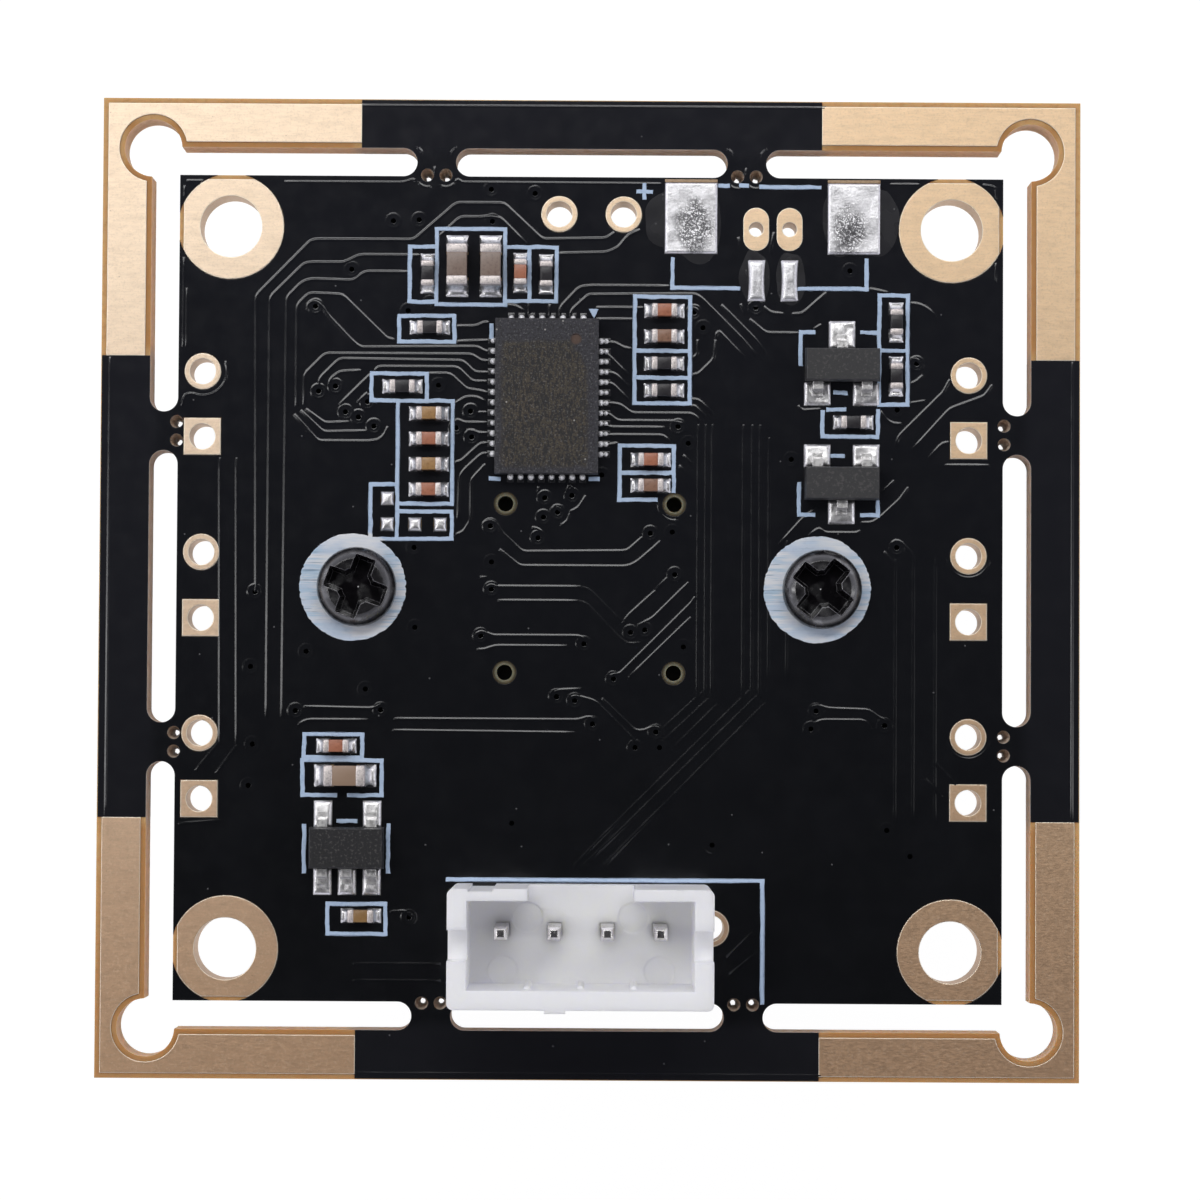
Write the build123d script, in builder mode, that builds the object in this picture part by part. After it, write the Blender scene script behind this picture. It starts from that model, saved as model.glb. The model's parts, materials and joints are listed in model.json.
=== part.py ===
"""Camera module: a component-laden board in a break-away frame, with a screw-focus lens below it.

Frame: millimetres. The origin is the centre of the four mounting holes, on the laminate's
component face. +Z leaves the component side, the lens points along -Z, and the connector
stands at the -Y edge.
"""
from build123d import *
from math import asin, cos, sin
import os

os.makedirs("parts", exist_ok=True)

# Panel and board
panel_side = 38.0
frame_bar = 1.9
slot_width = 1.1
board_side = panel_side - 2 * (frame_bar + slot_width)
board_thickness = 1.6
tab_offset = 6.03
tab_width = 1.5
bite_radius = 0.25
bite_offset = 0.36
bite_outset = 0.05
relief_radius = 1.12
relief_outset = 1.05

# Films on the laminate
mask_thickness = 0.04
plating_thickness = 0.05
legend_thickness = 0.02
legend_line = 0.16
plating_pullback = 0.2
corner_plating_length = 10.05
mask_gap = 0.02
mask_edge = 0.03

# Mounting holes
mount_inset = 2.0
mount_pitch = board_side - 2 * mount_inset
mount_radius = 1.2
mount_ring_radius = 2.05
mount_flat_inset = 0.16

# Plated wiring holes
pad_hole_radius = 0.5
pad_ring_radius = 0.7
pad_square = 1.42
left_pad_inset = 0.95
right_pad_inset = 1.32
round_pad_y = (8.35, 1.33, -5.68)
square_pad_y = (5.82, -1.22, -8.22)
top_pad_x = (-1.25, 1.25)
top_pad_inset = 1.45
oval_x = (6.4, 7.7)
oval_inset = 2.0
oval_width = 1.0
oval_length = 1.68
oval_hole_radius = 0.28
post_offset = 3.27
post_hole_radius = 0.3
post_mask_radius = 0.46

# Tinned cable lands on the top edge
cable_land_x = (3.87, 10.2)
cable_land_inset = 1.58
cable_land_width = 2.05
cable_land_length = 2.78
cable_land_height = 0.16
land_crown = 0.12
small_land_x = (6.42, 7.7)
small_land_y = 12.0
small_land_width = 0.7
small_land_length = 1.62

# Chip parts: place of each centre, and 90 for one that stands along Y
capacitors_0603 = [(-5.2, 12.5, 90), (-3.9, 12.5, 90), (-9.4, -7.3, 0)]
capacitors_0402 = [
    (-2.75, 12.25, 90),
    (2.85, 10.8, 0),
    (2.85, 9.8, 0),
    (-6.25, 6.75, 0),
    (-6.25, 5.77, 0),
    (-6.25, 4.78, 0),
    (-6.25, 3.8, 0),
    (2.35, 5.0, 0),
    (2.35, 4.0, 0),
    (-9.75, -6.15, 0),
    (-8.75, -12.7, 0),
]
resistors_0402 = [
    (-6.35, 12.2, 90),
    (-1.75, 12.2, 90),
    (-6.25, 10.1, 0),
    (11.85, 10.4, 90),
    (-7.3, 7.8, 0),
    (2.85, 8.75, 0),
    (2.85, 7.7, 0),
    (10.2, 6.5, 0),
    (11.85, 8.3, 90),
]
bare_land_places = [(-7.85, 3.45), (-7.85, 2.45), (-6.78, 2.45), (-5.8, 2.45)]
bare_land_size = (0.52, 0.54, 0.14)

# Chip sizes: length, width, height, end cap length, land overall length, land width
chip_0402_capacitor = (1.0, 0.5, 0.5, 0.25, 1.56, 0.56)
chip_0402_resistor = (1.0, 0.5, 0.35, 0.22, 1.56, 0.56)
chip_0603_capacitor = (1.6, 0.8, 0.8, 0.36, 2.4, 0.86)
solder_layer = 0.08
joint_toe = 0.05
joint_climb = 0.6
cap_skin = 0.015

# Image processor
processor_place = (-1.69, 7.4)
processor_size = (4.0, 6.0, 0.85)
lead_pitch = 0.4
side_leads = 12
end_leads = 8
lead_width = 0.2
lead_reach = 0.26
far_lead_reach = 0.42
lead_under = 0.3
lead_height = 0.3
lead_toe = 0.1
lead_shoulder = 0.15
pin_mark_place = (1.12, 2.2)
pin_mark_radius = 0.2
pin_mark_depth = 0.04

# Transistors and regulator: body size, leg width, land size
transistor_body = (2.9, 1.3, 0.95)
transistor_places = [(9.75, 8.7, 1), (9.75, 4.1, -1)]
transistor_leg = 0.4
transistor_pitch = 1.9
transistor_span = 2.4
transistor_land = (1.04, 0.9)
regulator_body = (2.9, 1.6, 1.1)
regulator_place = (-9.3, -10.08)
regulator_leg = 0.4
regulator_pitch = 0.95
regulator_span = 2.8
regulator_land = (0.72, 1.05)
leg_thickness = 0.14
leg_shoulder = 0.16
leg_slope = 0.08
land_setback = 0.1
body_standoff = 0.1
body_draft = 7.0

# Wire-to-board connector
pin_pitch = 2.0
pin_count = 4
pin_row_inset = 2.88
first_pin_x = -3.24
pin_side = 0.5
pin_top = 4.9
pin_tail = 1.7
pin_point = 0.11
cone_height = 0.85
cone_taper = 24.0
housing_width = 9.95
housing_depth = 4.5
housing_height = 6.0
housing_floor = 1.3
housing_wall = 0.72
housing_back_wall = 0.45
pins_to_back = 1.7
back_gap_width = 4.0
end_notch_width = 1.15
end_notch_depth = 1.3
ejector_radius = 0.58
ejector_depth = 0.05
ejector_points = [(-2.05, 1.0), (2.0, 1.0), (-3.0, -1.05), (3.0, -1.05)]
polarising_rib_radius = 0.13
housing_corner = 0.25
housing_bevel = 0.12
gate_mark = (0.8, 0.12, 1.0)
gate_x = -0.95
drain_notch = (0.93, 0.1)
drain_notch_x = -3.98
pin_clearance = 0.01

# Holder screws
screw_pitch = 18.0
screw_head_radius = 1.53
screw_head_height = 1.15
head_side = 0.55
head_crown = 0.45
head_crown_radius = 0.75
screw_core_radius = 0.9
screw_length = 5.6
screw_point = 0.3
screw_point_length = 0.5
screw_hole_radius = 1.15
recess_arm_width = 0.84
recess_span = 2.42
recess_depth = 0.72
recess_core_radius = 0.72
recess_taper = 12.0
recess_turns = (-20.0, -38.0)
legend_ring_radius = 2.08
legend_ring_hole = 1.2
legend_ring_shift = -0.17

# Lens holder
holder_base_side = 14.6
holder_base_height = 5.2
holder_wall = 1.2
holder_tower_radius = 7.2
holder_tower_height = 5.6
holder_ear_radius = 2.2
holder_ear_height = 4.6
holder_corner_radius = 0.8
holder_screw_bore = 0.95
holder_screw_bore_depth = 4.2
tower_chamfer = 0.25
thread_radius = 5.95
thread_clearance = 0.05
thread_lead_in = 0.3
filter_shelf_depth = 3.3
filter_shelf_thickness = 0.9
filter_aperture = 6.6

# Image sensor and infrared filter
sensor_side = 8.4
sensor_height = 1.1
sensor_wall = 0.9
sensor_floor = 0.4
die_side = 5.4
die_height = 0.3
cover_glass_thickness = 0.4
cover_glass_ledge = 0.35
filter_side = 8.6
filter_thickness = 0.5

# Screw-in lens
barrel_rear_below_board = 6.3
barrel_thread_length = 6.4
barrel_head_radius = 7.0
barrel_head_length = 5.2
grip_notches = 24
grip_notch_radius = 0.3
head_chamfer = 0.35
front_element_radius = 4.6
front_element_edge = 1.3
front_element_dome = 1.1
front_element_back = -0.7
middle_element_radius = 3.9
middle_element_edge = 1.4
middle_element_dome = 0.45
middle_element_back = -0.3
rear_element_radius = 3.3
rear_element_edge = 1.2
rear_element_dome = 0.35
ring_thickness = 0.9
ring_recess = 0.7
ring_width = 1.0
ring_bevel = 0.45
ring_land = 0.2
spacer_length = 1.6
spacer_wall = 0.9
element_lip = 0.6
fit_gap = 0.04

# Levels, worked out from the sizes above
half_panel = panel_side / 2
half_board = board_side / 2
half_mount = mount_pitch / 2
relief_offset = half_board + relief_outset
left_pad_x = left_pad_inset - half_board
right_pad_x = half_board - right_pad_inset
top_pad_y = half_board - top_pad_inset
oval_y = half_board - oval_inset
cable_land_y = half_board - cable_land_inset
pin_row_y = pin_row_inset - half_board
frame_inner = half_board + slot_width
slot_middle = half_board + slot_width / 2
front_face = -board_thickness
mask_top = mask_thickness
chip_seat = solder_layer
holder_seat = front_face - mask_thickness
connector_centre_x = first_pin_x + pin_pitch * (pin_count - 1) / 2
housing_back_y = pin_row_y + pins_to_back
housing_centre_y = housing_back_y - housing_depth / 2
spare_hole_x = first_pin_x + pin_pitch * pin_count
pin_x = [first_pin_x + pin_pitch * index for index in range(pin_count)]
corner_signs = [(-1, -1), (-1, 1), (1, -1), (1, 1)]
mount_points = [(half_mount * sx, half_mount * sy) for sx, sy in corner_signs]
relief_points = [(relief_offset * sx, relief_offset * sy) for sx, sy in corner_signs]
post_points = [(post_offset * sx, post_offset * sy) for sx, sy in corner_signs]
screw_points = [(-screw_pitch / 2, 0), (screw_pitch / 2, 0)]
round_pad_points = [(x, y) for x in (left_pad_x, right_pad_x) for y in round_pad_y]
round_pad_points += [(x, top_pad_y) for x in top_pad_x]
round_pad_points += [(spare_hole_x, pin_row_y)]
square_pad_points = [(x, y) for x in (left_pad_x, right_pad_x) for y in square_pad_y]
oval_points = [(x, oval_y) for x in oval_x]
pin_points = [(x, pin_row_y) for x in pin_x]


def finish(builder, name):
    """Label one finished piece and write it as its own file."""
    builder.part.label = name
    export_step(builder.part, f"parts/{name}.step")


def slot_places():
    """Locations of the three slots along each side of the inner board, by slot length."""
    inner_end = tab_offset + tab_width / 2
    outer_length = relief_offset - inner_end
    outer_centre = inner_end + outer_length / 2
    middle_length = 2 * (tab_offset - tab_width / 2)
    places = {middle_length: [], outer_length: []}
    for length, centres in ((middle_length, [0.0]), (outer_length, [-outer_centre, outer_centre])):
        for along in centres:
            for side in (-slot_middle, slot_middle):
                places[length].append(Location((along, side, 0)))
                places[length].append(Location((side, along, 0), (0, 0, 90)))
    return places


def bite_points():
    """Perforation holes: a pair across each tab, on the line of the inner board's edge."""
    line = half_board + bite_outset
    points = []
    for tab in (-tab_offset, tab_offset):
        for bite in (-bite_offset, bite_offset):
            for side in (-line, line):
                points.append((tab + bite, side))
                points.append((side, tab + bite))
    return points


def slot_sketch():
    """The slots and corner reliefs as openings, drawn into the sketch that is open."""
    for length, locations in slot_places().items():
        with Locations(*locations):
            SlotOverall(length, slot_width, mode=Mode.SUBTRACT)
    with Locations(*[(sx * slot_middle, sy * slot_middle) for sx, sy in corner_signs]):
        Rectangle(slot_width, slot_width, mode=Mode.SUBTRACT)
    with Locations(*relief_points):
        Circle(relief_radius, mode=Mode.SUBTRACT)


def drilled_sketch():
    """Every drilled hole of the board, drawn into the sketch that is open."""
    wall = plating_thickness
    with Locations(*mount_points):
        Circle(mount_radius + wall, mode=Mode.SUBTRACT)
    with Locations(*round_pad_points, *square_pad_points):
        Circle(pad_hole_radius + wall, mode=Mode.SUBTRACT)
    with Locations(*oval_points):
        Circle(oval_hole_radius + wall, mode=Mode.SUBTRACT)
    with Locations(*pin_points):
        Circle(pad_hole_radius, mode=Mode.SUBTRACT)
    with Locations(*post_points):
        Circle(post_hole_radius, mode=Mode.SUBTRACT)
    with Locations(*screw_points):
        Circle(screw_hole_radius, mode=Mode.SUBTRACT)
    with Locations(*bite_points()):
        Circle(bite_radius, mode=Mode.SUBTRACT)


# Laminate: one routed and drilled panel
with BuildPart() as laminate_board:
    with BuildSketch(Plane.XY.offset(front_face)):
        Rectangle(panel_side, panel_side)
        slot_sketch()
        drilled_sketch()
    extrude(amount=board_thickness)
finish(laminate_board, "laminate_board")


def corner_zone(inset, length):
    """The four L-shaped zones at the panel's corners, drawn into the sketch that is open."""
    outer = half_panel - inset
    inner = frame_inner + inset
    reach = length - inset
    for sx, sy in corner_signs:
        middle = (outer + inner) / 2
        along = outer - reach / 2
        with Locations((sx * along, sy * middle)):
            Rectangle(reach, outer - inner)
        with Locations((sx * middle, sy * along)):
            Rectangle(outer - inner, reach)


# Gold-plated frame corners, the same on both faces
with BuildPart() as frame_corner_plating:
    for level in (0.0, front_face - plating_thickness):
        with BuildSketch(Plane.XY.offset(level)):
            corner_zone(plating_pullback, corner_plating_length)
            with Locations(*relief_points):
                Circle(relief_radius + plating_pullback, mode=Mode.SUBTRACT)
        extrude(amount=plating_thickness)
finish(frame_corner_plating, "frame_corner_plating")


def plated_eyelets(points, ring_radius, hole_radius, flat=None):
    """Ring on each face joined by the plated wall of the hole; flat cuts the rings square."""
    through = board_thickness + 2 * plating_thickness
    with BuildPart() as eyelets:
        for level in (0.0, front_face - plating_thickness):
            with BuildSketch(Plane.XY.offset(level)):
                with Locations(*points):
                    Circle(ring_radius)
                if flat is not None:
                    Rectangle(2 * flat, 2 * flat, mode=Mode.INTERSECT)
            extrude(amount=plating_thickness)
        with BuildSketch(Plane.XY.offset(front_face)):
            with Locations(*points):
                Circle(hole_radius + plating_thickness)
        extrude(amount=board_thickness)
        with BuildSketch(Plane.XY.offset(front_face - plating_thickness)):
            with Locations(*points):
                Circle(hole_radius)
        extrude(amount=through, mode=Mode.SUBTRACT)
    return eyelets


mounting_hole_plating = plated_eyelets(
    mount_points, mount_ring_radius, mount_radius, half_board - mount_flat_inset
)
finish(mounting_hole_plating, "mounting_hole_plating")

round_hole_plating = plated_eyelets(round_pad_points, pad_ring_radius, pad_hole_radius)
finish(round_hole_plating, "round_hole_plating")

# Square plated holes
with BuildPart() as square_hole_plating:
    for level in (0.0, front_face - plating_thickness):
        with BuildSketch(Plane.XY.offset(level)):
            with Locations(*square_pad_points):
                Rectangle(pad_square, pad_square)
        extrude(amount=plating_thickness)
    with BuildSketch(Plane.XY.offset(front_face)):
        with Locations(*square_pad_points):
            Circle(pad_hole_radius + plating_thickness)
    extrude(amount=board_thickness)
    with BuildSketch(Plane.XY.offset(front_face - plating_thickness)):
        with Locations(*square_pad_points):
            Circle(pad_hole_radius)
    extrude(amount=board_thickness + 2 * plating_thickness, mode=Mode.SUBTRACT)
finish(square_hole_plating, "square_hole_plating")

# Oval plated holes between the cable lands
with BuildPart() as oval_hole_plating:
    for level in (0.0, front_face - plating_thickness):
        with BuildSketch(Plane.XY.offset(level)):
            with Locations(*oval_points):
                SlotOverall(oval_length, oval_width, rotation=90)
        extrude(amount=plating_thickness)
    with BuildSketch(Plane.XY.offset(front_face)):
        with Locations(*oval_points):
            Circle(oval_hole_radius + plating_thickness)
    extrude(amount=board_thickness)
    with BuildSketch(Plane.XY.offset(front_face - plating_thickness)):
        with Locations(*oval_points):
            Circle(oval_hole_radius)
    extrude(amount=board_thickness + 2 * plating_thickness, mode=Mode.SUBTRACT)
finish(oval_hole_plating, "oval_hole_plating")


def chip_locations(places):
    """Locations of chip parts at the board's face, from their place and quarter turn."""
    return [Location((x, y, 0), (0, 0, turn)) for x, y, turn in places]


def chip_lands(places, chip):
    """The two lands under each chip, as rectangles in the sketch that is open."""
    length, width, height, cap, land_length, land_width = chip
    inner = length / 2 - cap
    land = land_length / 2 - inner
    shift = inner + land / 2
    centres = chip_locations(places)
    lands = [centre * Location((side * shift, 0, 0)) for centre in centres for side in (-1, 1)]
    with Locations(*lands):
        Rectangle(land, land_width, mode=Mode.SUBTRACT)


def transistor_land_points(place):
    """Centres of a transistor's three lands: one on its flag side, two opposite."""
    x, y, flag = place
    reach = transistor_span / 2 - land_setback
    return [
        (x, y + flag * reach),
        (x - transistor_pitch / 2, y - flag * reach),
        (x + transistor_pitch / 2, y - flag * reach),
    ]


def regulator_land_points():
    """Centres of the regulator's five lands: two above, three below."""
    x, y = regulator_place
    reach = regulator_span / 2 - land_setback
    above = [(x + column * regulator_pitch, y + reach) for column in (-1, 1)]
    below = [(x + column * regulator_pitch, y - reach) for column in (-1, 0, 1)]
    return above + below


def lead_rows():
    """Location of each processor lead at the body's edge, with x pointing outwards."""
    x, y = processor_place
    half_x = processor_size[0] / 2
    half_y = processor_size[1] / 2
    near = []
    far = []
    for index in range(side_leads):
        along = (index - (side_leads - 1) / 2) * lead_pitch
        near.append(Location((x - half_x, y + along, 0), (0, 0, 180)))
        far.append(Location((x + half_x, y + along, 0), (0, 0, 0)))
    for index in range(end_leads):
        along = (index - (end_leads - 1) / 2) * lead_pitch
        near.append(Location((x + along, y + half_y, 0), (0, 0, 90)))
        near.append(Location((x + along, y - half_y, 0), (0, 0, -90)))
    return near, far


near_leads, far_leads = lead_rows()
transistor_lands = [point for place in transistor_places for point in transistor_land_points(place)]

def mask_sketch():
    """What both faces' masks leave open, drawn into the sketch that is open."""
    Rectangle(panel_side - 2 * mask_edge, panel_side - 2 * mask_edge)
    slot_sketch()
    bar_width = half_panel - frame_inner
    bar_middle = frame_inner + bar_width / 2
    along = half_panel - corner_plating_length / 2
    with Locations(*[(sx * along, sy * bar_middle) for sx, sy in corner_signs]):
        Rectangle(corner_plating_length, bar_width, mode=Mode.SUBTRACT)
    with Locations(*[(sx * bar_middle, sy * along) for sx, sy in corner_signs]):
        Rectangle(bar_width, corner_plating_length, mode=Mode.SUBTRACT)
    with Locations(*mount_points):
        Circle(mount_ring_radius + mask_gap, mode=Mode.SUBTRACT)
    with Locations(*round_pad_points):
        Circle(pad_ring_radius + mask_gap, mode=Mode.SUBTRACT)
    with Locations(*square_pad_points):
        Rectangle(pad_square + 2 * mask_gap, pad_square + 2 * mask_gap, mode=Mode.SUBTRACT)
    with Locations(*oval_points):
        SlotOverall(oval_length, oval_width, rotation=90, mode=Mode.SUBTRACT)
    with Locations(*post_points):
        Circle(post_mask_radius, mode=Mode.SUBTRACT)
    with Locations(*screw_points):
        Circle(screw_hole_radius, mode=Mode.SUBTRACT)
    with Locations(*pin_points):
        Circle(pad_ring_radius, mode=Mode.SUBTRACT)
    with Locations(*bite_points()):
        Circle(bite_radius, mode=Mode.SUBTRACT)


# Solder mask of the component side: open over every land, ring and bare corner
with BuildPart() as rear_solder_mask:
    with BuildSketch():
        mask_sketch()
        with Locations(*[(x, cable_land_y) for x in cable_land_x]):
            Rectangle(cable_land_width, cable_land_length, mode=Mode.SUBTRACT)
        with Locations(*[(x, small_land_y) for x in small_land_x]):
            Rectangle(small_land_width, small_land_length, mode=Mode.SUBTRACT)
        with Locations(*bare_land_places):
            Rectangle(bare_land_size[0], bare_land_size[1], mode=Mode.SUBTRACT)
        chip_lands(capacitors_0402, chip_0402_capacitor)
        chip_lands(resistors_0402, chip_0402_resistor)
        chip_lands(capacitors_0603, chip_0603_capacitor)
        with Locations(*transistor_lands):
            Rectangle(*transistor_land, mode=Mode.SUBTRACT)
        with Locations(*regulator_land_points()):
            Rectangle(*regulator_land, mode=Mode.SUBTRACT)
        for row, reach in ((near_leads, lead_reach), (far_leads, far_lead_reach)):
            middle = Location(((reach - lead_under) / 2, 0, 0))
            with Locations(*[location * middle for location in row]):
                Rectangle(reach + lead_under, lead_width, mode=Mode.SUBTRACT)
    extrude(amount=mask_thickness)
finish(rear_solder_mask, "rear_solder_mask")

# Solder mask of the lens side
with BuildPart() as front_solder_mask:
    with BuildSketch(Plane.XY.offset(front_face - mask_thickness)):
        mask_sketch()
    extrude(amount=mask_thickness)
finish(front_solder_mask, "front_solder_mask")


def land_pillow(width, length, height):
    """A tinned land: solder drawn up to a slightly smaller crown."""
    with BuildPart() as pillow:
        with BuildSketch():
            Rectangle(width, length)
        with BuildSketch(Plane.XY.offset(height)):
            Rectangle(width - land_crown, length - land_crown)
        loft()
    return pillow.part


# Tinned lands for the cable, and the solder left on unfitted chip lands
with BuildPart() as tinned_lands:
    with Locations(*[(x, cable_land_y) for x in cable_land_x]):
        add(land_pillow(cable_land_width, cable_land_length, cable_land_height))
    with Locations(*[(x, small_land_y) for x in small_land_x]):
        add(land_pillow(small_land_width, small_land_length, cable_land_height))
    with Locations(*bare_land_places):
        add(land_pillow(*bare_land_size))
finish(tinned_lands, "tinned_lands")


def joint_pair(chip):
    """The two solder joints of one chip: a layer under the cap and a slope up its end."""
    length, width, height, cap, land_length, land_width = chip
    climb = solder_layer + joint_climb * height
    inner = length / 2 - cap
    outer = land_length / 2
    with BuildPart() as pair:
        for side in (-1, 1):
            with BuildSketch(Plane.XZ.offset(-land_width / 2)):
                with BuildLine():
                    Polyline(
                        (side * inner, 0),
                        (side * outer, 0),
                        (side * outer, joint_toe),
                        (side * (length / 2 + joint_toe), climb),
                        (side * length / 2, climb),
                        (side * length / 2, solder_layer),
                        (side * inner, solder_layer),
                        close=True,
                    )
                make_face()
            extrude(amount=land_width)
    return pair.part


# Solder joints of all the chip parts
with BuildPart() as chip_solder_joints:
    for places, chip in (
        (capacitors_0402, chip_0402_capacitor),
        (resistors_0402, chip_0402_resistor),
        (capacitors_0603, chip_0603_capacitor),
    ):
        with Locations(*chip_locations(places)):
            add(joint_pair(chip))
finish(chip_solder_joints, "chip_solder_joints")


def chip_part(place, chip):
    """One ceramic chip: a block with slightly thicker metallised ends, on its solder."""
    length, width, height, cap, land_length, land_width = chip
    x, y, turn = place
    seat = Plane(Location((x, y, chip_seat), (0, 0, turn)))
    with BuildPart() as piece:
        with BuildSketch(seat.offset(cap_skin)):
            Rectangle(length - 2 * cap, width - 2 * cap_skin)
        extrude(amount=height - 2 * cap_skin)
        with BuildSketch(seat):
            for side in (-1, 1):
                with Locations((side * (length - cap) / 2, 0)):
                    Rectangle(cap, width)
        extrude(amount=height)
    return piece


capacitor_number = 0
for places, chip in (
    (capacitors_0603, chip_0603_capacitor),
    (capacitors_0402, chip_0402_capacitor),
):
    for place in places:
        capacitor_number += 1
        finish(chip_part(place, chip), f"capacitor_{capacitor_number:02d}")

for resistor_number, place in enumerate(resistors_0402, start=1):
    finish(chip_part(place, chip_0402_resistor), f"resistor_{resistor_number:02d}")

# Image processor: a flat leadless package with a dimple at its first lead
processor_seat = Plane((processor_place[0], processor_place[1], chip_seat))
with BuildPart() as image_processor:
    with BuildSketch(processor_seat):
        Rectangle(processor_size[0], processor_size[1])
    extrude(amount=processor_size[2])
    with BuildSketch(processor_seat.offset(processor_size[2])):
        with Locations(pin_mark_place):
            Circle(pin_mark_radius)
    extrude(amount=-pin_mark_depth, mode=Mode.SUBTRACT)
finish(image_processor, "image_processor")


def processor_joint(reach):
    """One lead's solder: a strip under the body and a bead against its side."""
    with BuildPart() as joint:
        with BuildSketch(Plane.XZ.offset(-lead_width / 2)):
            with BuildLine():
                Polyline(
                    (-lead_under, 0),
                    (reach, 0),
                    (reach, lead_toe),
                    (lead_shoulder, lead_height),
                    (0, lead_height),
                    (0, chip_seat),
                    (-lead_under, chip_seat),
                    close=True,
                )
            make_face()
        extrude(amount=lead_width)
    return joint.part


with BuildPart() as processor_leads:
    with Locations(*near_leads):
        add(processor_joint(lead_reach))
    with Locations(*far_leads):
        add(processor_joint(far_lead_reach))
finish(processor_leads, "processor_leads")


def moulded_body(place_x, place_y, size):
    """A moulded transistor body: sides drafted both ways from the leg line."""
    width, depth, height = size
    leg_line = body_standoff + (height - body_standoff) / 2
    with BuildPart() as body:
        with BuildSketch(Plane((place_x, place_y, leg_line))):
            Rectangle(width, depth)
        extrude(amount=height - leg_line, taper=body_draft)
        with BuildSketch(Plane((place_x, place_y, leg_line))):
            Rectangle(width, depth)
        extrude(amount=body_standoff - leg_line, taper=body_draft)
    return body


def gull_leg(half_depth, half_span, leg_line, width):
    """One bent leg from the body's side, down to a foot on its land, pointing along +Y."""
    bend = half_depth + leg_shoulder
    top = leg_line + leg_thickness / 2
    foot = solder_layer
    with BuildPart() as leg:
        with BuildSketch(Plane.YZ.offset(-width / 2)):
            with BuildLine():
                Polyline(
                    (half_depth, top - leg_thickness),
                    (bend, top - leg_thickness),
                    (bend + leg_slope, foot),
                    (half_span, foot),
                    (half_span, foot + leg_thickness),
                    (bend + leg_slope + leg_thickness, foot + leg_thickness),
                    (bend + leg_thickness, top),
                    (half_depth, top),
                    close=True,
                )
            make_face()
        extrude(amount=width)
    return leg.part


def legged_chip(place_x, place_y, size, legs, width, span):
    """Legs of a moulded chip, each with (x, side) where side is +1 above or -1 below."""
    leg_line = body_standoff + (size[2] - body_standoff) / 2
    leg = gull_leg(size[1] / 2, span / 2, leg_line, width)
    turns = {1: 0, -1: 180}
    places = [Location((place_x + x, place_y, 0), (0, 0, turns[side])) for x, side in legs]
    with BuildPart() as group:
        with Locations(*places):
            add(leg)
    return group


def foot_solder(points, land):
    """Solder on the lands of a legged chip, below its feet."""
    with BuildPart() as solder:
        with BuildSketch():
            with Locations(*points):
                Rectangle(*land)
        extrude(amount=solder_layer)
    return solder


for number, (x, y, flag) in enumerate(transistor_places, start=1):
    half_pitch = transistor_pitch / 2
    legs = [(0, flag), (-half_pitch, -flag), (half_pitch, -flag)]
    finish(moulded_body(x, y, transistor_body), f"transistor_{number}_body")
    group = legged_chip(x, y, transistor_body, legs, transistor_leg, transistor_span)
    finish(group, f"transistor_{number}_legs")

regulator_legs = [(-regulator_pitch, 1), (regulator_pitch, 1)]
regulator_legs += [(column * regulator_pitch, -1) for column in (-1, 0, 1)]
finish(moulded_body(*regulator_place, regulator_body), "regulator_body")
finish(
    legged_chip(*regulator_place, regulator_body, regulator_legs, regulator_leg, regulator_span),
    "regulator_legs",
)

with BuildPart() as leg_solder:
    add(foot_solder(transistor_lands, transistor_land).part)
    add(foot_solder(regulator_land_points(), regulator_land).part)
finish(leg_solder, "leg_solder")

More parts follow.
